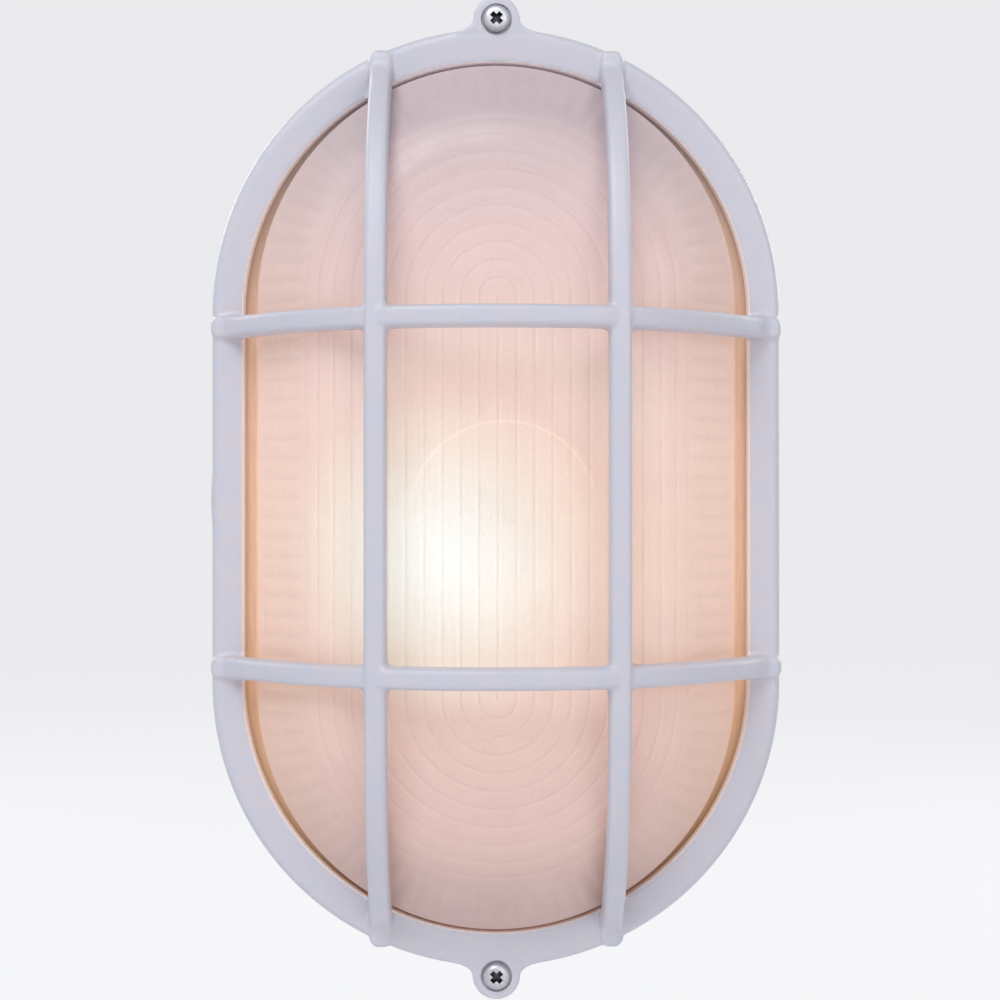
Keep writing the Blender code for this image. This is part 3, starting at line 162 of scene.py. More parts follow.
for name, spot, size, watts, colour in LAMPS:
    light = bpy.data.lights.new(name, "AREA")
    light.size = size
    light.energy = watts
    light.color = colour
    lamp = bpy.data.objects.new(name, light)
    lamp.location = spot
    lamp.rotation_euler = (-Vector(spot)).to_track_quat("-Z", "Y").to_euler()
    bpy.context.scene.collection.objects.link(lamp)


# Cast housing
# A deep oval dish of die-cast aluminium, painted white like the guard: flat back on the wall,
# drafted wall, rim with a seat for the glass, screw lugs above and below, a boss on each side.
PAINT = (0.605, 0.550, 0.575)
PAINT_COOL = (0.550, 0.545, 0.600)
BARE_EDGE = (0.70, 0.68, 0.72)
DUST = (0.46, 0.43, 0.39)
# Painted shade: a near-black tone laid on the faces inside a screw's cross recess, where shadow falls
RECESS_SHADE_TONE = (0.02, 0.02, 0.025)
RECESS_SHADE_SHARE = 0.88
SPECKLE_SHARE = 0.55
MOTTLE_SPAN = (0.38, 0.62)
WEAR_SPAN = (0.40, 0.62)
DUST_START = 0.25
DUST_ROUGHNESS = 0.4
HALF_STRAIGHT = 0.0520
BACK_RADIUS = 0.0705
WALL_RADIUS = 0.0740
SEAT_RADIUS = 0.0756
CAVITY_RADIUS = 0.0695
FLOOR_RADIUS = 0.0674
FLOOR_THICKNESS = 0.0030
RIM_THICKNESS = 0.0050
RIM_SLOPE = 0.0012
SEAT_RECESS = 0.0017
LUG_RADIUS = 0.0063
LUG_FLARE = 0.0040
LUG_START = 0.0140
LUG_THROAT = 0.1170
LUG_ROOT = 0.1211
LUG_BORE = 0.0026
LUG_BORE_DEPTH = 0.0260
ENTRY_DEPTH = 0.0240
ENTRY_FACE = 0.0780
ENTRY_RADIUS = 0.0130
ENTRY_BORE = 0.0098
ENTRY_START = 0.0629
BOSS_RADIUS = 0.0042
BOSS_BORE = 0.0020
BOSS_BORE_DEPTH = 0.0063
BOSS_DRAFT = 0.0003
REFLECTOR_BOSS = (0.0460, 0.0, 0.0185)
EARTH_BOSS = (0.0300, 0.0300, 0.0090)
WALL_HOLE = (0.0, 0.1104, 0.00275)
CABLE_HOLE = (0.0, 0.0640, 0.0100)
BLOCK_HOLE = (-0.0110, 0.0300, 0.0020)
BACK_ROUND = 0.0015
WALL_ROUND = 0.0020
RIM_ROUND = 0.0010
FLOOR_ROUND = 0.0030
ENTRY_ROUND = 0.0010
OVER = 0.0040
SOFT = 0.0006
FINE = 0.0003
DISH_ARC = 96
DISH_SIDE = 24

housing_low, housing_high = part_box("base_housing")
top_screw_low, top_screw_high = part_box("cover_screw_top")
rim_radius = housing_high.x
rim_land = -housing_low.y
rim_back = rim_land - RIM_THICKNESS
seat_depth = rim_land - SEAT_RECESS
ear_z = (top_screw_low.z + top_screw_high.z) / 2


def new_group(name, inputs, outputs):
    """A shader node group with its named sockets, and the two nodes that stand at its ends."""
    group = bpy.data.node_groups.new(name, "ShaderNodeTree")
    for label, kind, value in inputs:
        socket = group.interface.new_socket(label, in_out="INPUT", socket_type=kind)
        socket.default_value = value
    for label in outputs:
        group.interface.new_socket(label, in_out="OUTPUT", socket_type="NodeSocketFloat")
    return group, group.nodes.new("NodeGroupInput").outputs, group.nodes.new("NodeGroupOutput")


def noise(tree, place, scale, detail):
    return add(tree, "ShaderNodeTexNoise",
               {"Vector": place, "Scale": scale, "Detail": detail}).outputs["Fac"]


def surface_grain_group():
    """Fine peel over slow unevenness: a height for the bump, and a mask for colour and gloss."""
    group, given, out = new_group(
        "surface_grain",
        (("Vector", "NodeSocketVector", (0, 0, 0)), ("Fine Scale", "NodeSocketFloat", 900.0),
         ("Coarse Scale", "NodeSocketFloat", 60.0), ("Coarse Share", "NodeSocketFloat", 0.5)),
        ("Height", "Mottle"),
    )
    fine = noise(group, given["Vector"], given["Fine Scale"], 2.0)
    coarse = noise(group, given["Vector"], given["Coarse Scale"], 4.0)
    slow = calc(group, "MULTIPLY", coarse, given["Coarse Share"])
    quick = calc(group, "MULTIPLY", fine, calc(group, "SUBTRACT", 1.0, given["Coarse Share"]))
    group.links.new(calc(group, "ADD", slow, quick), out.inputs["Height"])
    speckled = add(group, "ShaderNodeMix", {0: SPECKLE_SHARE, 2: coarse, 3: fine}).outputs[0]
    group.links.new(span(group, speckled, *MOTTLE_SPAN), out.inputs["Mottle"])
    return group


def edge_wear_group():
    """Broken patches along the outer edges, from how sharply the surface bends outwards."""
    group, given, out = new_group(
        "edge_wear",
        (("Pointiness", "NodeSocketFloat", 0.5), ("Vector", "NodeSocketVector", (0, 0, 0)),
         ("Start", "NodeSocketFloat", 0.52), ("End", "NodeSocketFloat", 0.60),
         ("Patch Scale", "NodeSocketFloat", 260.0)),
        ("Wear",),
    )
    ridge = span(group, given["Pointiness"], given["Start"], given["End"])
    broken = span(group, noise(group, given["Vector"], given["Patch Scale"], 3.0), *WEAR_SPAN)
    group.links.new(calc(group, "MULTIPLY", ridge, broken), out.inputs["Wear"])
    return group


def settled_dust_group():
    """A thin film on what faces upwards, thicker in some places than in others."""
    group, given, out = new_group(
        "settled_dust",
        (("Normal", "NodeSocketVector", (0, 0, 1)), ("Vector", "NodeSocketVector", (0, 0, 0)),
         ("Patch Scale", "NodeSocketFloat", 45.0), ("Amount", "NodeSocketFloat", 0.3)),
        ("Dust",),
    )
    up = add(group, "ShaderNodeSeparateXYZ", {0: given["Normal"]}).outputs["Z"]
    patches = noise(group, given["Vector"], given["Patch Scale"], 5.0)
    film = calc(group, "MULTIPLY", span(group, up, DUST_START, 1.0), patches)
    group.links.new(calc(group, "MULTIPLY", film, given["Amount"]), out.inputs["Dust"])
    return group


surface_grain = surface_grain_group()
edge_wear = edge_wear_group()
settled_dust = settled_dust_group()


def blend_colours(tree, share, first, second):
    ends = [(*c, 1) if isinstance(c, tuple) else c for c in (first, second)]
    return add(tree, "ShaderNodeMix", {0: share, 6: ends[0], 7: ends[1]}, data_type="RGBA").outputs[2]


def finish(name, colour, other, roughness, metallic=0.0, fine=900.0, coarse=60.0, share=0.5,
           spread=0.06, relief=0.00004, stretch=(1, 1, 1), worn=None, dust=0.0, painted_recess_shade=False):
    """A finish whose colour, gloss and relief all vary over the surface, in Object coordinates."""
    material = bpy.data.materials.new(name)
    material.use_nodes = True
    tree = material.node_tree
    shader = tree.nodes["Principled BSDF"]
    place = tree.nodes.new("ShaderNodeTexCoord").outputs["Object"]
    place = add(tree, "ShaderNodeMapping", {"Vector": place, "Scale": stretch}).outputs[0]
    grain = add(tree, "ShaderNodeGroup", node_tree=surface_grain)
    tree.links.new(place, grain.inputs["Vector"])
    grain.inputs["Fine Scale"].default_value = fine
    grain.inputs["Coarse Scale"].default_value = coarse
    grain.inputs["Coarse Share"].default_value = share
    tone = blend_colours(tree, grain.outputs["Mottle"], other, colour)
    gloss = span(tree, grain.outputs["Mottle"], 0.0, 1.0, roughness + spread, roughness - spread)
    surface = tree.nodes.new("ShaderNodeNewGeometry")
    if worn:
        edges = add(tree, "ShaderNodeGroup", node_tree=edge_wear)
        tree.links.new(surface.outputs["Pointiness"], edges.inputs["Pointiness"])
        tree.links.new(place, edges.inputs["Vector"])
        tone = blend_colours(tree, edges.outputs["Wear"], tone, worn)
    if dust:
        film = add(tree, "ShaderNodeGroup", node_tree=settled_dust)
        film.inputs["Amount"].default_value = dust
        tree.links.new(surface.outputs["Normal"], film.inputs["Normal"])
        tree.links.new(place, film.inputs["Vector"])
        tone = blend_colours(tree, film.outputs["Dust"], tone, DUST)
        gloss = calc(tree, "ADD", gloss, calc(tree, "MULTIPLY", film.outputs["Dust"], DUST_ROUGHNESS))
    # Painted shade: the marked faces inside a screw's cross recess turn towards near black
    if painted_recess_shade:
        shade_in_recess = add(tree, "ShaderNodeAttribute", attribute_name="painted_recess_shade").outputs["Fac"]
        tone = blend_colours(tree, calc(tree, "MULTIPLY", shade_in_recess, RECESS_SHADE_SHARE), tone, RECESS_SHADE_TONE)
    bump = add(tree, "ShaderNodeBump", {"Height": grain.outputs["Height"], "Distance": relief})
    tree.links.new(tone, shader.inputs["Base Color"])
    tree.links.new(gloss, shader.inputs["Roughness"])
    tree.links.new(bump.outputs["Normal"], shader.inputs["Normal"])
    shader.inputs["Metallic"].default_value = metallic
    return material


def rounded(corners, steps=4, closed=False):
    """An outline through (x, y, radius) corners with each corner turned into an arc."""
    if closed:
        corners = [corners[-1], *corners, corners[0]]
    points = [] if closed else [tuple(corners[0][:2])]
    for before, here, after in zip(corners, corners[1:], corners[2:]):
        spot = Vector(here[:2])
        back = (Vector(before[:2]) - spot).normalized()
        ahead = (Vector(after[:2]) - spot).normalized()
        half = back.angle(ahead) / 2
        sweep = math.pi - 2 * half
        if here[2] == 0 or sweep < 0.01:
            points.append(tuple(spot))
            continue
        centre = spot + (back + ahead).normalized() * here[2] / math.sin(half)
        start = spot + back * here[2] / math.tan(half) - centre
        end = spot + ahead * here[2] / math.tan(half) - centre
        for step in range(steps + 1):
            turn = sweep * step / steps
            arm = (start * math.sin(sweep - turn) + end * math.sin(turn)) / math.sin(sweep)
            points.append(tuple(centre + arm))
    return points if closed else points + [tuple(corners[-1][:2])]


def stadium_spots(arc_steps, side_steps):
    """Yield (direction x, direction z, share of the straight) round an upright oval."""
    for end in (1, -1):
        for step in range(side_steps):
            yield end, 0.0, end * (2 * step / side_steps - 1)
        for step in range(arc_steps):
            angle = math.pi * step / arc_steps
            yield end * math.cos(angle), end * math.sin(angle), end


def oval(radius, half, depth, arc_steps=DISH_ARC, side_steps=DISH_SIDE):
    return [Vector((radius * x, -depth, radius * z + half * share))
            for x, z, share in stadium_spots(arc_steps, side_steps)]


def skin(bm, loops, ring=False, caps=True):
    """Skin a row of like loops with quads. A ring joins its last loop to its first."""
    rows = [[bm.verts.new(point) for point in points] for points in loops]
    pairs = list(zip(rows, rows[1:]))
    if ring:
        pairs.append((rows[-1], rows[0]))
    elif caps:
        bm.faces.new(rows[0])
        bm.faces.new(rows[-1])
    for near, far in pairs:
        for i in range(len(near)):
            bm.faces.new((near[i - 1], near[i], far[i], far[i - 1]))
    return rows


def thread_cut(height, turn, thread):
    """How deep a helical thread (low, high, pitch, depth) cuts at a height and a share of a turn."""
    low, high, pitch, depth = thread
    fade = max(min((height - low) / pitch, (high - height) / pitch, 1), 0)
    return depth * fade * (0.5 - 0.5 * math.cos(math.tau * (height / pitch - turn)))


def turned(bm, profile, seat=Matrix(), steps=48, ring=False, thread=None):
    """Turn (radius, height) pairs about the Z axis of a seat, with a helical thread if one is given."""
    loops = []
    for radius, height in profile:
        points = []
        for step in range(steps):
            turn = step / steps
            reach = radius - (thread_cut(height, turn, thread) if thread else 0)
            angle = math.tau * turn
            points.append(seat @ Vector((reach * math.cos(angle), reach * math.sin(angle), height)))
        loops.append(points)
    skin(bm, loops, ring=ring)


def hole(bm, radius, start, end, seat, steps=32):
    """A round drill through the bmesh, for a cut."""
    turned(bm, ((radius, start), (radius, end)), seat, steps)


def facing_room(x, z):
    return Matrix.Translation((x, 0, z)) @ Matrix.Rotation(math.pi / 2, 4, "X")


def facing_side(side):
    return Matrix.Translation((0, -ENTRY_DEPTH, 0)) @ Matrix.Rotation(side * math.pi / 2, 4, "Y")


def smooth(piece, sharp):
    piece.data.shade_smooth()
    piece.data.set_sharp_from_angle(angle=math.radians(sharp))


def new_piece(name, bm, material, sharp=32):
    """A smooth-shaded mesh object from the bmesh, with its faces turned outwards."""
    bmesh.ops.recalc_face_normals(bm, faces=bm.faces)
    mesh = bpy.data.meshes.new(name)
    bm.to_mesh(mesh)
    bm.free()
    mesh.materials.append(material)
    piece = bpy.data.objects.new(name, mesh)
    bpy.context.scene.collection.objects.link(piece)
    smooth(piece, sharp)
    return piece


def settle(piece):
    """Turn what the piece's modifiers make into its own plain mesh."""
    made = bpy.data.meshes.new_from_object(piece.evaluated_get(bpy.context.evaluated_depsgraph_get()))
    piece.modifiers.clear()
    piece.data = made
    return piece


def carve(piece, operation, bm, sharp=32):
    """Join the solids in the bmesh to the piece, or cut them out of it."""
    tool = new_piece("tool", bm, piece.data.materials[0])
    step = piece.modifiers.new(operation.title(), "BOOLEAN")
    step.operation = operation
    step.solver = "EXACT"
    step.use_self = True
    step.object = tool
    settle(piece)
    bpy.data.objects.remove(tool)
    smooth(piece, sharp)


def fit(piece, body, *nodes):
    """Hang the piece on its body in place of the CAD nodes that it stands for."""
    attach(piece, body)
    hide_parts(*nodes)


def screw_ear(bm, radius, flare, root_z, up, low, high, edge, throat=None):
    """A screw ear with softened edges: a round tip about the screw that flares to its root."""
    quarter = [math.pi / 4 * step for step in range(3)]
    corner = [(edge * (1 - math.sin(turn)), edge * (1 - math.cos(turn))) for turn in quarter]
    rows = [(inset, low + drop) for inset, drop in corner]
    rows += [(inset, high - drop) for inset, drop in reversed(corner)]
    loops = []
    for inset, depth in rows:
        side = []
        if throat:
            side.append((radius - inset + flare, throat))
        for step in range(10):
            turn = math.pi / 2 * step / 10
            side.append((radius - inset + flare * (1 - math.sin(turn)),
                         ear_z - (ear_z - root_z) * math.cos(turn)))
        for step in range(15):
            turn = math.pi / 2 * step / 14
            side.append(((radius - inset) * math.cos(turn), ear_z + (radius - inset) * math.sin(turn)))
        outline = side + [(-x, z) for x, z in reversed(side[:-1])]
        loops.append([Vector((x, -depth, up * z)) for x, z in outline])
    skin(bm, loops)


housing_paint = finish("housing_paint", PAINT, PAINT_COOL, 0.44, fine=1500.0, coarse=170.0,
                       relief=0.00005, share=0.5, dust=0.35)

outside = rounded((
    (BACK_RADIUS - OVER, 0, 0), (BACK_RADIUS, 0, BACK_ROUND),
    (WALL_RADIUS, rim_back - RIM_SLOPE, WALL_ROUND), (rim_radius, rim_back, RIM_ROUND),
    (rim_radius, rim_land, SOFT), (rim_radius - OVER, rim_land, 0)))
bm = bmesh.new()
skin(bm, [oval(radius, HALF_STRAIGHT, depth) for radius, depth in outside])
housing = new_piece("cast_housing", bm, housing_paint)

bm = bmesh.new()
entry = rounded(((ENTRY_RADIUS, ENTRY_START, 0), (ENTRY_RADIUS, ENTRY_FACE, ENTRY_ROUND),
                 (ENTRY_RADIUS - OVER, ENTRY_FACE, 0)))
for side in (-1, 1):
    screw_ear(bm, LUG_RADIUS, LUG_FLARE, LUG_ROOT, side, LUG_START, rim_land, SOFT, LUG_THROAT)
    turned(bm, entry, facing_side(side), 64)
carve(housing, "UNION", bm)

inside = rounded((
    (SEAT_RADIUS, rim_land + OVER, 0), (SEAT_RADIUS, seat_depth, FINE), (CAVITY_RADIUS, seat_depth, SOFT),
    (FLOOR_RADIUS, FLOOR_THICKNESS, FLOOR_ROUND), (FLOOR_RADIUS - 2 * OVER, FLOOR_THICKNESS, 0)))
bm = bmesh.new()
skin(bm, [oval(radius, HALF_STRAIGHT, depth) for radius, depth in inside])
carve(housing, "DIFFERENCE", bm)

bm = bmesh.new()
bosses = (REFLECTOR_BOSS, (-REFLECTOR_BOSS[0], *REFLECTOR_BOSS[1:]), EARTH_BOSS)
for x, z, top in bosses:
    profile = rounded(((BOSS_RADIUS + BOSS_DRAFT, FLOOR_THICKNESS / 2, 0), (BOSS_RADIUS, top, SOFT),
                       (BOSS_RADIUS - 2 * SOFT, top, 0)))
    turned(bm, profile, facing_room(x, z), 32)
carve(housing, "UNION", bm)

bm = bmesh.new()
for x, z, top in bosses:
    start = max(top - BOSS_BORE_DEPTH, FLOOR_THICKNESS / 2)
    hole(bm, BOSS_BORE, start, top + OVER, facing_room(x, z), 24)
for up in (-1, 1):
    hole(bm, LUG_BORE, rim_land - LUG_BORE_DEPTH, rim_land + OVER, facing_room(0, up * ear_z))
    hole(bm, WALL_HOLE[2], -OVER, 2 * OVER, facing_room(0, up * WALL_HOLE[1]))
    hole(bm, ENTRY_BORE, ENTRY_START - OVER / 2, ENTRY_FACE + OVER, facing_side(up), 64)
hole(bm, CABLE_HOLE[2], -OVER, 2 * OVER, facing_room(*CABLE_HOLE[:2]), 64)
hole(bm, BLOCK_HOLE[2], FLOOR_THICKNESS / 3, 2 * OVER, facing_room(*BLOCK_HOLE[:2]), 24)
carve(housing, "DIFFERENCE", bm)
fit(housing, "base", "base_housing")

# Blanking plugs and their seals
# White-painted metal plugs with a hexagon socket, each screwed into a side entry on a rubber ring
# until a conduit takes its place.
PLUG_RADIUS = 0.0118
PLUG_HEAD = 0.0030
PLUG_THREAD_RADIUS = 0.0095
PLUG_LENGTH = 0.0100
PLUG_PITCH = 0.0015
PLUG_THREAD_DEPTH = 0.0006
PLUG_THREAD_ROWS = 44
PLUG_SOCKET = 0.0045
PLUG_SOCKET_DEPTH = 0.0060
PLUG_ROUND = 0.0009
SEAL_ROUND = 0.0004

rubber = finish("black_rubber", (0.035, 0.034, 0.033), (0.022, 0.022, 0.022), 0.72, fine=1500.0,
                coarse=200.0, relief=0.00006, dust=0.5)
plug_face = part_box("conduit_plug_right")[1].x
plug_seat = plug_face - PLUG_HEAD
plug_end = plug_seat - PLUG_LENGTH
seal_low, seal_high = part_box("plug_seal_right")
seal_radius = (seal_high.z - seal_low.z) / 2
seal_bore = PLUG_THREAD_RADIUS + FINE
for side, word in ((-1, "left"), (1, "right")):
    profile = rounded(((PLUG_RADIUS - OVER, plug_face, 0), (PLUG_RADIUS, plug_face, PLUG_ROUND),
                       (PLUG_RADIUS, plug_seat, FINE), (PLUG_THREAD_RADIUS, plug_seat, 0)))
    run = plug_seat - plug_end - 2 * FINE
    profile += [(PLUG_THREAD_RADIUS, plug_seat - FINE - run * row / PLUG_THREAD_ROWS)
                for row in range(PLUG_THREAD_ROWS + 1)]
    profile.append((PLUG_THREAD_RADIUS - SOFT, plug_end))
    bm = bmesh.new()
    turned(bm, profile, facing_side(side), 64,
           thread=(plug_end, plug_seat - PLUG_PITCH / 2, PLUG_PITCH, PLUG_THREAD_DEPTH))
    plug = new_piece("blanking_plug_" + word, bm, housing_paint)
    bm = bmesh.new()
    mouth = PLUG_SOCKET + 2 * FINE
    turned(bm, ((PLUG_SOCKET, plug_face - PLUG_SOCKET_DEPTH), (PLUG_SOCKET, plug_face - 2 * FINE),
                (mouth, plug_face), (mouth, plug_face + OVER)), facing_side(side), 6)
    carve(plug, "DIFFERENCE", bm)
    fit(plug, "base", "conduit_plug_" + word)
    bm = bmesh.new()
    corners = ((seal_bore, seal_low.x), (seal_radius, seal_low.x), (seal_radius, seal_high.x),
               (seal_bore, seal_high.x))
    ring = rounded([(*corner, SEAL_ROUND) for corner in corners], closed=True)
    turned(bm, ring, facing_side(side), 64, ring=True)
    fit(new_piece("plug_seal_ring_" + word, bm, rubber), "base", "plug_seal_" + word)

# Cable bush
# A moulded rubber bush in the rear entry: its flange lies on the floor of the dish, its neck fills
# the hole, and the supply cable would pass through its tapered bore.
BUSH_BORE = 0.0045
BUSH_MOUTH = 0.0062
BUSH_NECK = 0.0097
BUSH_FLANGE_THICKNESS = 0.0022
BUSH_ROUND = 0.0008
BUSH_SMALL_ROUND = 0.0004
BUSH_ROOT_ROUND = 0.0002

bush_low, bush_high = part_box("cable_grommet")
bush_radius = (bush_high.x - bush_low.x) / 2
flange_seat = -bush_low.y - BUSH_FLANGE_THICKNESS
profile = rounded((
    (BUSH_BORE, flange_seat, BUSH_ROUND), (BUSH_MOUTH, -bush_low.y, SOFT),
    (bush_radius, -bush_low.y, BUSH_ROUND), (bush_radius, flange_seat, BUSH_SMALL_ROUND),
    (BUSH_NECK, flange_seat, BUSH_ROOT_ROUND), (BUSH_NECK, -bush_high.y, SOFT),
    (BUSH_BORE, -bush_high.y, BUSH_SMALL_ROUND)), closed=True)
bm = bmesh.new()
turned(bm, profile, facing_room(*CABLE_HOLE[:2]), 72, ring=True)
fit(new_piece("cable_bush", bm, rubber), "base", "cable_grommet")

# Terminal block and its screws
# A white nylon block of three ways on the dish's floor, with a slotted brass clamping screw in each
# well, held by one zinc-plated screw. A brass earth screw stands on its own boss beside it.
BLOCK_WAYS = (-0.0160, -0.0060, 0.0040)
BLOCK_HEIGHT = 0.0300
BLOCK_EDGE = 0.0007
GROOVE_WIDTH = 0.0007
GROOVE_DEPTH = 0.0012
WELL_RADIUS = 0.0024
CLAMP_RADIUS = 0.0016
CLAMP_DEPTH = 0.0031
WIRE_ENTRY_RADIUS = 0.0017
WIRE_ENTRY_DEPTH = 0.0077
WIRE_ENTRY_LENGTH = 0.0040
BLOCK_SCREW_WELL = 0.0035
BLOCK_SCREW_SEAT = 0.0066
SMALL_SCREW = (0.0030, 0.0020, 0.0017)
SMALL_SCREW_LENGTH = 0.0056
SMALL_PITCH = 0.0007
CLAMP_SCREW = (0.0019, 0.0012, 0.0013)
CLAMP_SCREW_LENGTH = 0.0028
CLAMP_PITCH = 0.0005
THREAD_SHARE = 0.45
ROWS_PER_PITCH = 6
CROSS_HALF = 0.19
CROSS_SPAN = 0.50
CROSS_DEPTH = 0.95
CROSS_TAPER = 0.75
SLOT_HALF = 0.15
SLOT_SPAN = 1.1
SLOT_DEPTH = 0.55
HEAD_TOP_SHARE = 0.3
HEAD_ROUND_SHARE = 0.72
HEAD_EDGE = 0.0002
BARE_PITCHES = 0.6
TIP_PITCHES = 0.5
ROOM = Vector((0, -1, 0))
GROUND = Vector((0, 0, -1))

nylon = finish("white_nylon", (0.80, 0.79, 0.74), (0.76, 0.75, 0.69), 0.48, fine=1600.0, coarse=120.0,
               dust=0.3)
zinc = finish("zinc_plate", (0.56, 0.56, 0.60), (0.47, 0.47, 0.52), 0.48, metallic=1.0, fine=2600.0,
              coarse=700.0, spread=0.10, relief=0.00002, worn=(0.66, 0.66, 0.70), painted_recess_shade=True)
brass = finish("brass", (0.80, 0.60, 0.27), (0.66, 0.46, 0.20), 0.32, metallic=1.0, fine=2400.0,
               coarse=600.0, spread=0.10, relief=0.00002, worn=(0.86, 0.68, 0.36))


def recess_cutter(bm, radius, height, cross):
    """A tapered cross, or a plain slot, that sinks into a screw head."""
    half = radius * (CROSS_HALF if cross else SLOT_HALF)
    length = radius * (CROSS_SPAN if cross else SLOT_SPAN)
    depth = height * (CROSS_DEPTH if cross else SLOT_DEPTH)
    arms = 4 if cross else 2
    loops = []
    foot_share = CROSS_TAPER if cross else 1.0
    for share, level in ((foot_share, height - depth), (1.0, height), (1.0, height + OVER)):
        out = length * share
        wide = half * share
        corner = ((out, -wide), (out, wide), (wide, wide))[:3 if cross else 2]
        outline = []
        for arm in range(arms):
            turn = math.tau * arm / arms + math.pi / 4
            for x, y in corner:
                outline.append(Vector((x * math.cos(turn) - y * math.sin(turn),
                                       x * math.sin(turn) + y * math.cos(turn), level)))
        loops.append(outline)
    skin(bm, loops)


def screw_blank(name, sizes, length, pitch, material, cross=True, steps=32):
    """A pan-head screw with a helical thread, its head standing on the plane z = 0."""
    radius, height, shank = sizes
    profile = rounded(((radius * HEAD_TOP_SHARE, height, 0), (radius, height, height * HEAD_ROUND_SHARE),
                       (radius, 0, HEAD_EDGE), (shank, 0, 0)), steps=6)
    bare = BARE_PITCHES * pitch
    count = round((length - bare) / pitch * ROWS_PER_PITCH)
    run = length - bare - TIP_PITCHES * pitch
    profile += [(shank, -bare - run * row / count) for row in range(count + 1)]
    profile.append((shank - pitch / 2, -length))
    bm = bmesh.new()
    turned(bm, profile, steps=steps, thread=(-length, -bare, pitch, pitch * THREAD_SHARE))
    blank = new_piece(name, bm, material)
    bm = bmesh.new()
    recess_cutter(bm, radius, height, cross)
    carve(blank, "DIFFERENCE", bm)
    # Mark the faces inside the cross recess, which the finish darkens as painted shade
    painted_recess_shade = blank.data.attributes.new("painted_recess_shade", "FLOAT", "FACE")
    for face in blank.data.polygons:
        inside = face.center.xy.length < radius * CROSS_SPAN and 0 < face.center.z < height - FINE / 2
        painted_recess_shade.data[face.index].value = float(inside)
    return blank


def new_tree(name, *sockets):
    """A geometry tree with its named inputs and one geometry output, and the inputs to link from."""
    tree = bpy.data.node_groups.new(name, "GeometryNodeTree")
    for label, kind in sockets:
        tree.interface.new_socket(label, in_out="INPUT", socket_type="NodeSocket" + kind)
    tree.interface.new_socket("Geometry", in_out="OUTPUT", socket_type="NodeSocketGeometry")
    return tree, tree.nodes.new("NodeGroupInput").outputs


def end_tree(tree, geometry, material):
    """End a tree with real geometry in its material."""
    real = add(tree, "GeometryNodeRealizeInstances", {"Geometry": geometry})
    done = add(tree, "GeometryNodeSetMaterial", {"Geometry": real.outputs[0], "Material": material})
    tree.links.new(done.outputs[0], tree.nodes.new("NodeGroupOutput").inputs[0])
    return tree


def driven_screws_tree():
    """Stand a copy of one screw on every seat point, turned to the way that the seat faces."""
    tree, given = new_tree("driven_screws", ("Seats", "Geometry"), ("Screw", "Object"),
                           ("Material", "Material"))
    facing = add(tree, "GeometryNodeInputNamedAttribute", {"Name": "facing"}, data_type="FLOAT_VECTOR")
    turn = add(tree, "FunctionNodeAlignRotationToVector", {"Vector": facing.outputs[0]}, axis="Z")
    blank = add(tree, "GeometryNodeObjectInfo", {"Object": given["Screw"]}).outputs["Geometry"]
    stood = add(tree, "GeometryNodeInstanceOnPoints",
                {"Points": given["Seats"], "Instance": blank, "Rotation": turn.outputs[0]})
    return end_tree(tree, stood.outputs[0], given["Material"])


def run_tree(piece, tree, **values):
    """Put a geometry tree on the piece with its named inputs, and keep what it makes."""
    modifier = piece.modifiers.new(tree.name, "NODES")
    modifier.node_group = tree
    for item in tree.interface.items_tree:
        key = item.name.lower().replace(" ", "_")
        if item.in_out == "INPUT" and key in values:
            modifier[item.identifier] = values[key]
    return settle(piece)


driven_screws = driven_screws_tree()


def drive(name, blank, material, height, seats, body="base"):
    """Drive a like screw where each CAD node (name, way it faces) has one, as one piece."""
    bm = bmesh.new()
    layer = bm.verts.layers.float_vector.new("facing")
    for node, facing in seats:
        low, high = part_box(node)
        reach = abs((high - low).dot(facing)) / 2
        bm.verts.new((low + high) / 2 + facing * (reach - height))[layer] = facing
    piece = new_piece(name, bm, material)
    run_tree(piece, driven_screws, screw=blank, material=material)
    smooth(piece, 40)
    fit(piece, body, *(node for node, facing in seats))


block_low, block_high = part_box("terminal_block")
block_top = -block_low.y
bm = bmesh.new()
bmesh.ops.create_cube(bm, size=1, matrix=Matrix.LocRotScale(
    (block_low + block_high) / 2, None, block_high - block_low))
block = new_piece("terminal_block_body", bm, nylon)
edge = block.modifiers.new("edge", "BEVEL")
edge.width = BLOCK_EDGE
edge.segments = 3
settle(block)
bm = bmesh.new()
clamp_floor = block_top - CLAMP_SCREW[1] - FINE
for x in BLOCK_WAYS:
    turned(bm, ((CLAMP_RADIUS, clamp_floor - CLAMP_DEPTH), (CLAMP_RADIUS, clamp_floor),
                (WELL_RADIUS, clamp_floor), (WELL_RADIUS, block_top + OVER)),
           facing_room(x, BLOCK_HEIGHT), 32)
    wire_entry = Matrix.Translation((x, -WIRE_ENTRY_DEPTH, block_low.z))
    mouth = WIRE_ENTRY_RADIUS + SOFT
    turned(bm, ((mouth, -OVER), (mouth, 0), (WIRE_ENTRY_RADIUS, SOFT),
                (WIRE_ENTRY_RADIUS, WIRE_ENTRY_LENGTH)), wire_entry, 32)
turned(bm, ((BLOCK_HOLE[2] + FINE, 0), (BLOCK_HOLE[2] + FINE, BLOCK_SCREW_SEAT),
            (BLOCK_SCREW_WELL, BLOCK_SCREW_SEAT), (BLOCK_SCREW_WELL, block_top + OVER)),
       facing_room(*BLOCK_HOLE[:2]), 32)
groove = ((BLOCK_WAYS[1] + BLOCK_WAYS[2]) / 2, -block_top, BLOCK_HEIGHT)
groove_size = (GROOVE_WIDTH, 2 * GROOVE_DEPTH, block_high.z - block_low.z + OVER)
bmesh.ops.create_cube(bm, size=1, matrix=Matrix.LocRotScale(groove, None, groove_size))
carve(block, "DIFFERENCE", bm)
fit(block, "base", "terminal_block")

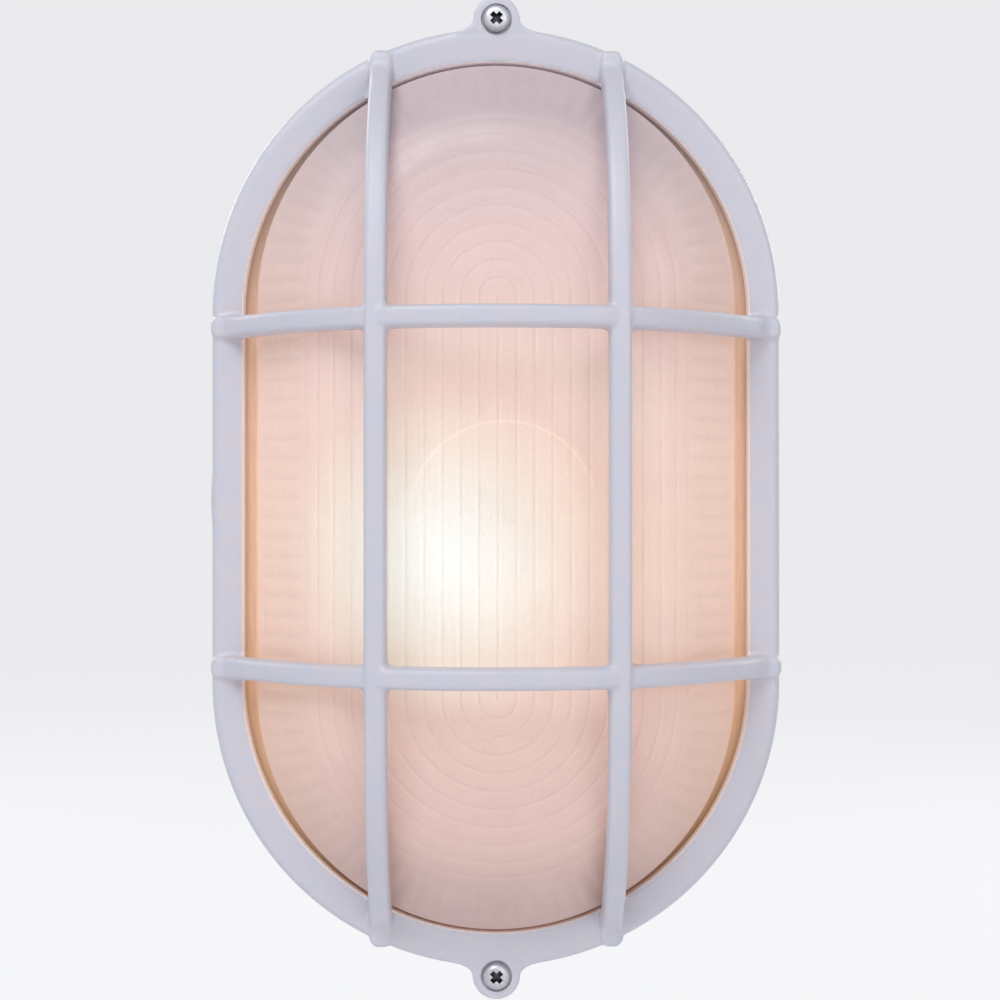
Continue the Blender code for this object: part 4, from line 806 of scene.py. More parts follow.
clamp_blank = screw_blank("clamp_blank", CLAMP_SCREW, CLAMP_SCREW_LENGTH, CLAMP_PITCH, brass, False, 24)
small_blank = screw_blank("small_blank", SMALL_SCREW, SMALL_SCREW_LENGTH, SMALL_PITCH, zinc, True, 24)
drive("clamping_screws", clamp_blank, brass, CLAMP_SCREW[1],
      [(f"terminal_screw_{way}", ROOM) for way in (1, 2, 3)])
drive("block_fixing_screw", small_blank, zinc, SMALL_SCREW[1], [("terminal_block_screw", ROOM)])
drive("brass_earth_screw", small_blank, brass, SMALL_SCREW[1], [("earth_screw", ROOM)])
bpy.data.objects.remove(clamp_blank)

# Inner leads
# Stranded copper in heat-proof sleeves: brown and blue run behind the reflector and through it to
# the lampholder, and a green and yellow one bends round to the earth screw.
LEAD_RADIUS = 0.0012
LEAD_SIDES = 20
ROUTE_STEPS = 6
STRIPE_SHARE = 0.36
LEAD_ROUTES = (
    ("lead_live", ((-16, 7.7, 26.2), (-16, 7.7, 12.5), (-12.4, 15.2, -11.5), (-7, 15.2, -37.1),
                   (-7, 16.4, -51.1), (-7, 20.55, -57.1), (-7, 24.7, -63.1), (-7, 25.9, -73.1),
                   (-7, 26.5, -79.6), (-7, 31.1, -86.6))),
    ("lead_neutral", ((-6, 7.7, 26.2), (-6, 7.7, 12.5), (-0.8, 15.2, -11.5), (7, 15.2, -37.1),
                      (7, 16.4, -51.1), (7, 20.55, -57.1), (7, 24.7, -63.1), (7, 25.9, -73.1),
                      (7, 26.5, -79.6), (7, 31.1, -86.6))),
    ("lead_earth", ((4, 7.7, 26.2), (4, 7.7, 16.5), (11.8, 7.7, 7.5), (24.8, 10.8, 10.5),
                    (30, 10.8, 20), (30, 10.8, 28))),
)


def sleeved_lead_tree():
    """Draw a round sleeve along the route, and keep how far round it each point lies."""
    tree, given = new_tree("sleeved_lead", ("Route", "Geometry"), ("Radius", "Float"), ("Sides", "Int"),
                           ("Steps", "Int"), ("Material", "Material"))
    route = add(tree, "GeometryNodeMeshToCurve", {"Mesh": given["Route"]})
    bent = add(tree, "GeometryNodeCurveSplineType", {"Curve": route.outputs[0]}, spline_type="CATMULL_ROM")
    fine = add(tree, "GeometryNodeSetSplineResolution",
               {"Geometry": bent.outputs[0], "Resolution": given["Steps"]})
    ring = add(tree, "GeometryNodeCurvePrimitiveCircle",
               {"Resolution": given["Sides"], "Radius": given["Radius"]})
    spot = tree.nodes.new("GeometryNodeSplineParameter").outputs["Factor"]
    marked = add(tree, "GeometryNodeStoreNamedAttribute",
                 {"Geometry": ring.outputs[0], "Name": "round_lead", "Value": spot},
                 data_type="FLOAT", domain="POINT")
    drawn = add(tree, "GeometryNodeCurveToMesh",
                {"Curve": fine.outputs[0], "Profile Curve": marked.outputs[0], "Fill Caps": True})
    return end_tree(tree, drawn.outputs[0], given["Material"])


brown_sleeve = finish("brown_sleeve", (0.22, 0.10, 0.05), (0.17, 0.075, 0.04), 0.46, fine=2200.0,
                      coarse=160.0)
blue_sleeve = finish("blue_sleeve", (0.06, 0.18, 0.50), (0.05, 0.14, 0.42), 0.46, fine=2200.0, coarse=160.0)
earth_sleeve = finish("green_and_yellow_sleeve", (0.12, 0.42, 0.10), (0.10, 0.35, 0.08), 0.46,
                      fine=2200.0, coarse=160.0)
tree = earth_sleeve.node_tree
shader = tree.nodes["Principled BSDF"]
green = shader.inputs["Base Color"].links[0].from_socket
round_lead = add(tree, "ShaderNodeAttribute", attribute_name="round_lead").outputs["Fac"]
striped = calc(tree, "LESS_THAN", round_lead, STRIPE_SHARE)
tree.links.new(blend_colours(tree, striped, green, (0.78, 0.62, 0.06)), shader.inputs["Base Color"])

sleeved_lead = sleeved_lead_tree()
for (node, route), sleeve in zip(LEAD_ROUTES, (brown_sleeve, blue_sleeve, earth_sleeve)):
    bm = bmesh.new()
    spots = [bm.verts.new((x / 1000, -depth / 1000, z / 1000)) for x, depth, z in route]
    for near, far in zip(spots, spots[1:]):
        bm.edges.new((near, far))
    piece = new_piece(node.replace("lead_", "sleeved_lead_"), bm, sleeve)
    run_tree(piece, sleeved_lead, radius=LEAD_RADIUS, sides=LEAD_SIDES, steps=ROUTE_STEPS, material=sleeve)
    smooth(piece, 40)
    fit(piece, "base", node)

# Reflector plate
# A pressed sheet-steel oval in white enamel behind the lamp, with a rolled rim and a raised bead,
# on two screws into the housing's bosses. The leads pass through two holes under the lampholder.
PLATE_HALF = 0.0400
PLATE_THICKNESS = 0.0012
PLATE_BEAD_INSET = 0.0070
PLATE_BEAD_WIDTH = 0.0022
PLATE_BEAD_RAISE = 0.0007
PLATE_RIM_RAISE = 0.0010
PLATE_SCREW_HOLE = 0.0022
PLATE_TAPPED_HOLE = 0.0020
LEAD_HOLES = (0.0070, -0.0571, 0.0045)
BRACKET_SCREWS = (0.0090, -0.0767)
PLATE_HOLES = (
    (REFLECTOR_BOSS[0], 0, PLATE_SCREW_HOLE),
    LEAD_HOLES,
    (*BRACKET_SCREWS, PLATE_TAPPED_HOLE),
)

enamel = finish("white_enamel", (0.85, 0.85, 0.83), (0.81, 0.81, 0.78), 0.26, fine=700.0, coarse=50.0,
                relief=0.00006, worn=(0.80, 0.80, 0.78), dust=0.3)
plate_low, plate_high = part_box("reflector_plate")
plate_radius = plate_high.x
plate_front = -plate_low.y
plate_back = plate_front - PLATE_THICKNESS
bead = plate_radius - PLATE_BEAD_INSET
profile = rounded((
    (bead - 2 * PLATE_BEAD_WIDTH, plate_front, 0), (bead - PLATE_BEAD_WIDTH, plate_front, SOFT),
    (bead, plate_front + PLATE_BEAD_RAISE, SOFT), (bead + PLATE_BEAD_WIDTH, plate_front, SOFT),
    (plate_radius - 3 * SOFT, plate_front, SOFT), (plate_radius - SOFT, plate_front + PLATE_RIM_RAISE, FINE),
    (plate_radius, plate_front + PLATE_RIM_RAISE / 2, FINE), (plate_radius, plate_back, FINE),
    (plate_radius - OVER, plate_back, 0)))
bm = bmesh.new()
skin(bm, [oval(radius, PLATE_HALF, depth) for radius, depth in profile])
plate = new_piece("reflector_pan", bm, enamel)
bm = bmesh.new()
for side in (-1, 1):
    for x, z, radius in PLATE_HOLES:
        hole(bm, radius, plate_front - OVER, plate_front + OVER, facing_room(side * x, z))
carve(plate, "DIFFERENCE", bm)
fit(plate, "base", "reflector_plate")
drive("reflector_fixing_screws", small_blank, zinc, SMALL_SCREW[1],
      [("reflector_screw_left", ROOM), ("reflector_screw_right", ROOM)])

# Lampholder bracket
# A strip of zinc-plated steel bent to an L and screwed to the reflector, its shelf carrying the
# lampholder on two screws from below.
STRIP_WIDTH = 0.0300
STRIP_THICKNESS = 0.0015
STRIP_BEND = 0.0035
STRIP_CORNER = 0.0030
STRIP_EDGE = 0.0003
STRIP_HOLE = 0.0022
HOLDER_SCREW_OFFSET = 0.0110

strip_low, strip_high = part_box("lampholder_bracket")
lamp_low, lamp_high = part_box("lamp")
lamp_depth = -(lamp_low.y + lamp_high.y) / 2
leg_back = -strip_high.y
outer_path = rounded(((leg_back, strip_high.z, 0), (leg_back, strip_low.z, STRIP_BEND),
                      (-strip_low.y, strip_low.z, 0)), steps=12)
path = []
for a, b in zip(outer_path, outer_path[1:]):
    count = max(round(math.dist(a, b) / SOFT), 1)
    path += [tuple(Vector(a).lerp(Vector(b), step / count)) for step in range(count)]
path.append(outer_path[-1])
travel = [0.0]
for a, b in zip(path, path[1:]):
    travel.append(travel[-1] + math.dist(a, b))
loops = []
for index, (depth, z) in enumerate(path):
    before = Vector(path[max(index - 1, 0)])
    after = Vector(path[min(index + 1, len(path) - 1)])
    run = (after - before).normalized()
    normal = Vector((0, run.y, run.x))
    nearest = min(travel[index], travel[-1] - travel[index])
    missing = STRIP_CORNER - nearest
    half = STRIP_WIDTH / 2
    if missing > 0:
        half -= STRIP_CORNER - math.sqrt(STRIP_CORNER ** 2 - missing ** 2)
    section = rounded(((-half, 0, STRIP_EDGE), (half, 0, STRIP_EDGE), (half, STRIP_THICKNESS, STRIP_EDGE),
                       (-half, STRIP_THICKNESS, STRIP_EDGE)), steps=2, closed=True)
    loops.append([Vector((x, -depth, z)) + normal * t for x, t in section])
bm = bmesh.new()
skin(bm, loops)
bracket = new_piece("bent_bracket", bm, zinc)
bm = bmesh.new()
for side in (-1, 1):
    hole(bm, STRIP_HOLE, leg_back - OVER, leg_back + OVER,
         facing_room(side * BRACKET_SCREWS[0], BRACKET_SCREWS[1]))
    hole(bm, STRIP_HOLE, strip_low.z - OVER, strip_low.z + OVER,
         Matrix.Translation((side * HOLDER_SCREW_OFFSET, -lamp_depth, 0)))
carve(bracket, "DIFFERENCE", bm)
fit(bracket, "base", "lampholder_bracket")
drive("bracket_fixing_screws", small_blank, zinc, SMALL_SCREW[1],
      [("bracket_screw_left", ROOM), ("bracket_screw_right", ROOM)])

# Lampholder
# A glazed porcelain cup on the shelf, with a nickel-plated sleeve rolled to the lamp's thread and a
# sprung centre contact.
HOLDER_BORE = 0.0144
HOLDER_RADIUS = 0.0202
HOLDER_BASE = 0.0212
HOLDER_FLOOR = 0.0120
HOLDER_WAIST = 0.0070
HOLDER_SLOPE = 0.0020
HOLDER_EDGE = 0.0012
HOLDER_ROUND = 0.0010
HOLDER_SCREW_BORE = 0.0020
HOLDER_SCREW_DEPTH = 0.0060
SLEEVE_RADIUS = 0.0141
SLEEVE_WALL = 0.0004
LAMP_PITCH = 0.0036
SLEEVE_THREAD_DEPTH = 0.0004
SLEEVE_ROWS = 60
CONTACT_TOP_SHARE = 0.6

porcelain = finish("glazed_porcelain", (0.88, 0.86, 0.82), (0.85, 0.82, 0.77), 0.16, fine=500.0,
                   coarse=70.0, spread=0.04, relief=0.00005, dust=0.3)
nickel = finish("nickel_plate", (0.76, 0.73, 0.67), (0.66, 0.63, 0.57), 0.26, metallic=1.0, fine=2400.0,
                coarse=500.0, spread=0.08, relief=0.00002, stretch=(1, 1, 0.3), worn=(0.82, 0.80, 0.74))
holder_low, holder_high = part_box("lampholder_body")
holder_bottom = holder_low.z
holder_top = holder_high.z
cup_floor = holder_bottom + HOLDER_FLOOR
waist = cup_floor + HOLDER_WAIST
upright_axis = Matrix.Translation((0, -lamp_depth, 0))
profile = rounded((
    (SOFT, cup_floor, 0), (HOLDER_BORE, cup_floor, HOLDER_ROUND), (HOLDER_BORE, holder_top, SOFT),
    (HOLDER_RADIUS, holder_top, HOLDER_EDGE), (HOLDER_RADIUS, waist, HOLDER_ROUND),
    (HOLDER_BASE, waist - HOLDER_SLOPE, HOLDER_ROUND), (HOLDER_BASE, holder_bottom, HOLDER_EDGE),
    (SOFT, holder_bottom, 0)), steps=6)
bm = bmesh.new()
turned(bm, profile, upright_axis, 96)
holder = new_piece("porcelain_holder", bm, porcelain)
bm = bmesh.new()
for side in (-1, 1):
    hole(bm, HOLDER_SCREW_BORE, holder_bottom - OVER, holder_bottom + HOLDER_SCREW_DEPTH,
         Matrix.Translation((side * HOLDER_SCREW_OFFSET, -lamp_depth, 0)))
carve(holder, "DIFFERENCE", bm)
fit(holder, "base", "lampholder_body")

sleeve_low, sleeve_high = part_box("lampholder_sleeve")
sleeve_rows = [sleeve_low.z + (sleeve_high.z - sleeve_low.z) * row / SLEEVE_ROWS
               for row in range(SLEEVE_ROWS + 1)]
profile = [(SLEEVE_RADIUS - SLEEVE_WALL, z) for z in sleeve_rows]
profile += [(SLEEVE_RADIUS, z) for z in reversed(sleeve_rows)]
bm = bmesh.new()
turned(bm, profile, upright_axis, 72, ring=True,
       thread=(sleeve_low.z, sleeve_high.z, LAMP_PITCH, SLEEVE_THREAD_DEPTH))
fit(new_piece("threaded_sleeve", bm, nickel), "base", "lampholder_sleeve")

contact_low, contact_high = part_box("lampholder_contact")
contact_radius = (contact_high.x - contact_low.x) / 2
profile = rounded((
    (FINE, contact_high.z, 0), (contact_radius * CONTACT_TOP_SHARE, contact_high.z, SOFT),
    (contact_radius, contact_low.z + FINE, FINE), (contact_radius, contact_low.z, 0)))
bm = bmesh.new()
turned(bm, profile, upright_axis, 36)
fit(new_piece("centre_contact", bm, nickel), "base", "lampholder_contact")
drive("holder_fixing_screws", small_blank, zinc, SMALL_SCREW[1],
      [("holder_screw_left", GROUND), ("holder_screw_right", GROUND)])
bpy.data.objects.remove(small_blank)

# Lamp
# A round-topped opal bulb on a rolled and threaded nickel cap, with a black glass insulator and a
# soldered tip at its foot.
BULB_RADIUS = 0.0275
BULB_END = math.radians(-32)
CAP_RADIUS = 0.0130
CAP_LENGTH = 0.0250
CAP_COLLAR = 0.0040
CAP_THREAD_DEPTH = 0.0006
CAP_TAPER = 0.0030
NECK_LENGTH = 0.0040
NECK_PULL = 0.0090
TIP_HEIGHT = 0.0020
TIP_RADIUS = 0.0048
TIP_ROUND = 0.0008
BULB_ROWS = 40
NECK_ROWS = 16
CAP_ROWS = 48
LAMP_GLOW = (1.0, 0.86, 0.68)
LAMP_GLOW_STRENGTH = 1.0

opal = finish("opal_glass", (0.93, 0.90, 0.84), (0.90, 0.87, 0.80), 0.22, fine=600.0, coarse=60.0,
              spread=0.03, relief=0.00002)
shader = opal.node_tree.nodes["Principled BSDF"]
shader.inputs["Emission Color"].default_value = (*LAMP_GLOW, 1)
shader.inputs["Emission Strength"].default_value = LAMP_GLOW_STRENGTH
insulator = finish("black_insulator", (0.020, 0.018, 0.024), (0.014, 0.013, 0.016), 0.20, fine=900.0)
solder = finish("soldered_tip", (0.62, 0.62, 0.62), (0.50, 0.50, 0.51), 0.42, metallic=1.0, fine=1800.0,
                coarse=800.0, relief=0.00008)

bulb_middle = lamp_high.z - BULB_RADIUS
neck_z = lamp_low.z + CAP_LENGTH + NECK_LENGTH
cap_foot = lamp_low.z + TIP_HEIGHT + CAP_TAPER
profile = []
for step in range(1, BULB_ROWS + 1):
    angle = math.pi / 2 + (BULB_END - math.pi / 2) * step / BULB_ROWS
    profile.append((BULB_RADIUS * math.cos(angle), bulb_middle + BULB_RADIUS * math.sin(angle)))
start = Vector(profile[-1])
pull = Vector((math.sin(BULB_END), -math.cos(BULB_END))) * NECK_PULL
end = Vector((CAP_RADIUS, neck_z))
curve = interpolate_bezier(start, start + pull, end + Vector((0, NECK_PULL)), end, NECK_ROWS)
profile += [tuple(point) for point in curve[1:]]
thread_top = neck_z - CAP_COLLAR
profile += [(CAP_RADIUS + FINE / 2, neck_z - FINE), (CAP_RADIUS, neck_z - 2 * FINE)]
profile += [(CAP_RADIUS, thread_top + (cap_foot - thread_top) * row / CAP_ROWS)
            for row in range(CAP_ROWS + 1)]
insulator_top = cap_foot - CAP_TAPER / 2
tip_step = lamp_low.z + TIP_HEIGHT / 2
profile += [(CAP_RADIUS - CAP_TAPER, insulator_top), (TIP_RADIUS + FINE, tip_step), (TIP_RADIUS, tip_step)]
profile += rounded(((TIP_RADIUS - FINE, tip_step, 0), (TIP_RADIUS - FINE, lamp_low.z, TIP_ROUND),
                    (SOFT, lamp_low.z, 0)))
bm = bmesh.new()
turned(bm, profile, upright_axis, 96, thread=(cap_foot, thread_top, LAMP_PITCH, CAP_THREAD_DEPTH))
lamp_piece = new_piece("opal_lamp", bm, opal)
for material in (nickel, insulator, solder):
    lamp_piece.data.materials.append(material)
for face in lamp_piece.data.polygons:
    level = face.center.z
    face.material_index = sum(level < limit for limit in (neck_z, insulator_top, tip_step + FINE / 3))
fit(lamp_piece, "lamp", "lamp")

# Gaskets
# Two flat rubber rings: a thick one between the glass's flange and the housing's seat, and a thin
# one between the flange and the back of the guard.
GASKET_EDGE = 0.0003
GASKETS = (("lens_gasket", 0.0048, "base"), ("guard_gasket", 0.0034, "cover"))

for node, width, body in GASKETS:
    low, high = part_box(node)
    corners = [(radius, -y, GASKET_EDGE) for radius, y in
               ((high.x - width, low.y), (high.x, low.y), (high.x, high.y), (high.x - width, high.y))]
    bm = bmesh.new()
    loops = [oval(radius, HALF_STRAIGHT, depth) for radius, depth in rounded(corners, closed=True)]
    skin(bm, loops, ring=True)
    fit(new_piece(node.replace("gasket", "sealing_ring"), bm, rubber), body, node)

# Pressed glass
# A shallow oval dome of pressed glass, frosted, with the lamp's light painted on as a glow: crown ribs that
# run round the centre line, radial flutes down the wall, and a flat flange clamped by the guard.
FLANGE_RADIUS = 0.0750
FLANGE_THICKNESS = 0.0036
DOME_RADIUS = 0.0667
DOME_HALF = 0.0542
DOME_FLARE = 0.0005
GLASS_WALL = 0.0040
CROWN_SLOPE = math.radians(5)
WALL_SLOPE = math.radians(50)
SHOULDER_RUN = 0.0120
WALL_RUN = 0.0147
CROWN_RIBS = 11
RIB_DEPTH = 0.00015
RIB_ROWS = 6
FLUTES_PER_SIDE = 20
FLUTES_PER_END = 34
FLUTE_DEPTH = 0.00034
FLUTE_STEPS = 4
FLUTE_ROWS = 18
FLUTE_MARGIN = 0.0005
FLUTE_RISE = 0.0030
# Painted shade in the valleys and along the rib lines, with a painted gleam beside each line
VALLEY_LIGHT = 0.90
RIB_SHARE = 0.5
STIPPLE = (0.965, 1.035)
STIPPLE_SCALE = 1700.0
STREAK_LIGHT = (1.0, 0.95)
RIB_LINE = 0.0005
RIB_LINE_STEP = 0.0008
RIB_SHADE = 0.20
RIB_HIGHLIGHT = 0.10
RIB_BREAKS = 70.0
RIB_BREAK_SPAN = (0.40, 0.60)
RIB_FAINTEST = 0.35
STREAK_SCALE = (900.0, 0.35)
STREAK_SPAN = (0.52, 0.68)
VALLEY_START = 0.3
OFF_DOME = -1.0
INNER_ROWS = 14

# The lamp's glow painted on the frosted glass as emission: a white spot low on the left, in a wide warm halo
SPOT_CENTRE = Vector((-0.0125, 0.0, -0.0150))
SPOT_REACH = 0.0450
SPOT_STOPS = ((0.0, (0.093, 0.387, 0.44)), (0.333, (0.081, 0.281, 0.303)), (0.667, (0.023, 0.126, 0.108)),
              (1.0, (0.0, 0.0, 0.0)))
HALO_CENTRE = Vector((0.0, 0.0, -0.0040))
HALO_REACH = 0.1100
HALO_STOPS = ((0.0, (0.353, 0.158, 0.041)), (0.2, (0.428, 0.247, 0.14)), (0.4, (0.415, 0.277, 0.185)),
              (0.6, (0.345, 0.207, 0.148)), (0.8, (0.235, 0.130, 0.092)), (1.0, (0.100, 0.055, 0.038)))
# Painted light as well: warmer sides, a cooler top, and a faint outline of the bulb as a painted reflection
SIDE_START = 0.0360
SIDE_END = 0.0660
SIDE_GLOW = (0.090, 0.055, 0.004)
OUTLINE_CENTRE = Vector((0.0018, 0.0, -0.0047))
OUTLINE_RADIUS = 0.0252
OUTLINE_WIDTH = 0.0007
OUTLINE_GLOW = (0.06, 0.06, 0.055)
UPPER_SPAN = 0.1000
UPPER_GLOW = (-0.016, 0.028, 0.073)
GLASS_TINT = (0.50, 0.375, 0.345)
GLASS_SHADE = (0.47, 0.35, 0.325)
# Painted shade: a darker brown base colour on the flange, where less of the lamp's light reaches
FLANGE_PAINTED_SHADE = (0.44, 0.28, 0.205)
FLANGE_LIGHT = 0.96
FLANGE_STREAKS = 0.09
FLANGE_STREAK_SCALE = 1400.0
FLANGE_STREAK_SHAPE = (1, 1, 0.08)
UNEVEN_SPAN = (0.35, 0.65)
# A painted shadow of the ring on the flange, and a painted gleam at the dome's foot
FLANGE_SHADOW = 0.0014
FLANGE_SHADOW_LIGHT = 0.62
FLANGE_GLEAM = 0.0007
FLANGE_GLEAM_LIGHT = 1.35
OPENING_RADIUS = 0.0708
OPENING_HALF = 0.0511

lens_low, lens_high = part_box("glass_lens")
flange_back = -lens_high.y
flange_front = flange_back + FLANGE_THICKNESS
crown_depth = -lens_low.y
crown_half_width = DOME_RADIUS - WALL_RUN - SHOULDER_RUN
crown_bend = crown_half_width / math.sin(CROWN_SLOPE)
shoulder_bend = SHOULDER_RUN / (math.sin(WALL_SLOPE) - math.sin(CROWN_SLOPE))
crown_length = crown_bend * CROWN_SLOPE
ribbed_length = crown_length + shoulder_bend * (WALL_SLOPE - CROWN_SLOPE)
dome_length = ribbed_length + WALL_RUN / math.cos(WALL_SLOPE)
crown_drop = crown_bend * (1 - math.cos(CROWN_SLOPE))
shoulder_drop = shoulder_bend * (math.cos(CROWN_SLOPE) - math.cos(WALL_SLOPE))
rib_pitch = ribbed_length / CROWN_RIBS
foot_radius = DOME_RADIUS + DOME_FLARE


def dome_spot(length, inward=0.0):
    """(distance from the centre line, depth) on the dome at a length along its outer face."""
    if length < crown_length:
        slope = length / crown_bend
        distance = crown_bend * math.sin(slope)
        drop = crown_bend * (1 - math.cos(slope))
    elif length < ribbed_length:
        slope = CROWN_SLOPE + (length - crown_length) / shoulder_bend
        distance = crown_half_width + shoulder_bend * (math.sin(slope) - math.sin(CROWN_SLOPE))
        drop = crown_drop + shoulder_bend * (math.cos(CROWN_SLOPE) - math.cos(slope))
    else:
        slope = WALL_SLOPE
        distance = crown_half_width + SHOULDER_RUN + (length - ribbed_length) * math.cos(slope)
        drop = crown_drop + shoulder_drop + (length - ribbed_length) * math.sin(slope)
    return max(distance - inward * math.sin(slope), 0), crown_depth - drop - inward * math.cos(slope)


def glass_relief_tree():
    """Sink the valleys between ribs and between flutes into the glass, and keep them as a mask."""
    tree, given = new_tree(
        "glass_relief", ("Geometry", "Geometry"), ("Rib Pitch", "Float"), ("Rib Depth", "Float"),
        ("Ribbed Length", "Float"), ("Flute Depth", "Float"), ("Flute Start", "Float"),
        ("Flute Rise", "Float"), ("Flute End", "Float"), ("Material", "Material"))

    def stored(label):
        return add(tree, "GeometryNodeInputNamedAttribute", {"Name": label}, data_type="FLOAT").outputs[0]

    def valley(count):
        wave = calc(tree, "ABSOLUTE", calc(tree, "SINE", calc(tree, "MULTIPLY", count, math.pi)))
        return calc(tree, "SUBTRACT", 1.0, wave)

    down = stored("down")
    on_crown = calc(tree, "LESS_THAN", down, given["Ribbed Length"])
    on_dome = calc(tree, "GREATER_THAN", down, OFF_DOME / 2)
    ribs = valley(calc(tree, "DIVIDE", down, given["Rib Pitch"]))
    ribs = calc(tree, "MULTIPLY", ribs, calc(tree, "MULTIPLY", on_crown, on_dome))
    start = span(tree, down, given["Flute Start"],
                 calc(tree, "ADD", given["Flute Start"], given["Flute Rise"]))
    end = span(tree, down, given["Flute End"],
               calc(tree, "SUBTRACT", given["Flute End"], given["Flute Rise"]))
    flutes = calc(tree, "MULTIPLY", valley(stored("around")), calc(tree, "MULTIPLY", start, end))
    rib_sink = calc(tree, "MULTIPLY", ribs, given["Rib Depth"])
    flute_sink = calc(tree, "MULTIPLY", flutes, given["Flute Depth"])
    inwards = calc(tree, "MULTIPLY", calc(tree, "ADD", rib_sink, flute_sink), -1.0)
    normal = tree.nodes.new("GeometryNodeInputNormal").outputs[0]
    offset = add(tree, "ShaderNodeVectorMath", {0: normal, "Scale": inwards}, operation="SCALE")
    mask = calc(tree, "MAXIMUM", calc(tree, "MULTIPLY", ribs, RIB_SHARE), flutes)
    kept = add(tree, "GeometryNodeStoreNamedAttribute",
               {"Geometry": given["Geometry"], "Name": "valley", "Value": mask},
               data_type="FLOAT", domain="POINT")
    moved = add(tree, "GeometryNodeSetPosition",
                {"Geometry": kept.outputs[0], "Offset": offset.outputs[0]})
    return end_tree(tree, moved.outputs[0], given["Material"])


def front_distance(tree, place, centre):
    """How far a place lies from a point, seen from the front."""
    away = add(tree, "ShaderNodeVectorMath", {0: place, 1: centre}, operation="SUBTRACT").outputs[0]
    flat = add(tree, "ShaderNodeVectorMath", {0: away, 1: (1, 0, 1)}, operation="MULTIPLY").outputs[0]
    return add(tree, "ShaderNodeVectorMath", {0: flat}, operation="LENGTH").outputs["Value"]


def oval_distance(tree, place, half):
    """How far a place lies from the upright centre line of an oval, seen from the front."""
    parts = add(tree, "ShaderNodeSeparateXYZ", {0: place}).outputs
    beyond = calc(tree, "SUBTRACT", calc(tree, "ABSOLUTE", parts["Z"]), half)
    away = add(tree, "ShaderNodeCombineXYZ", {0: parts["X"], 1: calc(tree, "MAXIMUM", beyond, 0.0)})
    return add(tree, "ShaderNodeVectorMath", {0: away.outputs[0]}, operation="LENGTH").outputs["Value"]


def glow_about(tree, place, centre, reach, stops):
    """Colour by how far a place on the glass lies from the middle of a glow."""
    share = calc(tree, "DIVIDE", front_distance(tree, place, centre), reach)
    ramp = add(tree, "ShaderNodeValToRGB", {"Fac": share})
    elements = ramp.color_ramp.elements
    for stop, colour in stops[1:-1]:
        elements.new(stop).color = (*colour, 1)
    elements[0].color = (*stops[0][1], 1)
    elements[-1].color = (*stops[-1][1], 1)
    return ramp.outputs["Color"]


def painted_lamp_glow(tree, place, on_dome):
    """The whole painted glow: spot and halo, warmer sides, a cooler top and a faint outline of the bulb as a
    painted reflection.
    """
    parts = add(tree, "ShaderNodeSeparateXYZ", {0: place}).outputs
    off_outline = calc(tree, "SUBTRACT", front_distance(tree, place, OUTLINE_CENTRE), OUTLINE_RADIUS)
    line = span(tree, calc(tree, "ABSOLUTE", off_outline), OUTLINE_WIDTH, 0.0)
    upper = span(tree, parts["Z"], OUTLINE_CENTRE.z, OUTLINE_CENTRE.z + OUTLINE_RADIUS / 2)
    outline = calc(tree, "MULTIPLY", calc(tree, "MULTIPLY", line, upper), on_dome)
    glow = glow_about(tree, place, SPOT_CENTRE, SPOT_REACH, SPOT_STOPS)
    halo = glow_about(tree, place, HALO_CENTRE, HALO_REACH, HALO_STOPS)
    glow = add(tree, "ShaderNodeVectorMath", {0: glow, 1: halo}, operation="ADD").outputs[0]
    for value, start, end, colour in (
        (calc(tree, "ABSOLUTE", parts["X"]), SIDE_START, SIDE_END, SIDE_GLOW),
        (parts["Z"], -UPPER_SPAN, UPPER_SPAN, UPPER_GLOW),
        (outline, 0.0, 1.0, OUTLINE_GLOW),
    ):
        rise = span(tree, value, start, end)
        more = add(tree, "ShaderNodeVectorMath", {0: colour, "Scale": rise}, operation="SCALE").outputs[0]
        glow = add(tree, "ShaderNodeVectorMath", {0: glow, 1: more}, operation="ADD").outputs[0]
    return glow


def rib_lines(tree, place, down, on_dome):
    """A broken thin painted shade along each valley between two ribs, with a painted gleam beside it."""
    turns = calc(tree, "DIVIDE", down, rib_pitch)
    off = calc(tree, "MULTIPLY", calc(tree, "SUBTRACT", turns, calc(tree, "ROUND", turns)), rib_pitch)
    beside = calc(tree, "ABSOLUTE", calc(tree, "SUBTRACT", off, RIB_LINE_STEP))
    shade = span(tree, calc(tree, "ABSOLUTE", off), RIB_LINE, 0.0, 0.0, RIB_SHADE)
    gleam = span(tree, beside, RIB_LINE, 0.0, 0.0, RIB_HIGHLIGHT)
    strength = span(tree, noise(tree, place, RIB_BREAKS, 2.0), *RIB_BREAK_SPAN, RIB_FAINTEST, 1.0)
    ribbed = calc(tree, "MULTIPLY", on_dome, calc(tree, "LESS_THAN", down, ribbed_length))
    change = calc(tree, "SUBTRACT", gleam, shade)
    change = calc(tree, "MULTIPLY", change, calc(tree, "MULTIPLY", strength, ribbed))
    return calc(tree, "ADD", change, 1.0)


def relief_light(tree, place, on_dome, down):
    """How much of the painted glow comes through the valleys (painted shade), the drawn lines and the
    stipple.
    """
    valley = add(tree, "ShaderNodeAttribute", attribute_name="valley").outputs["Fac"]
    around = add(tree, "ShaderNodeAttribute", attribute_name="around").outputs["Fac"]
    along_rib = add(tree, "ShaderNodeCombineXYZ", {0: calc(tree, "MULTIPLY", down, STREAK_SCALE[0]),
                                                   1: calc(tree, "MULTIPLY", around, STREAK_SCALE[1])})
    lines = calc(tree, "MULTIPLY", noise(tree, along_rib.outputs[0], 1.0, 1.0), on_dome)
    light = rib_lines(tree, place, down, on_dome)
    for share in (
        span(tree, valley, VALLEY_START, 1.0, 1.0, VALLEY_LIGHT),
        span(tree, lines, *STREAK_SPAN, *STREAK_LIGHT),
        span(tree, noise(tree, place, STIPPLE_SCALE, 1.0), *UNEVEN_SPAN, *STIPPLE),
    ):
        light = calc(tree, "MULTIPLY", light, share)
    return light


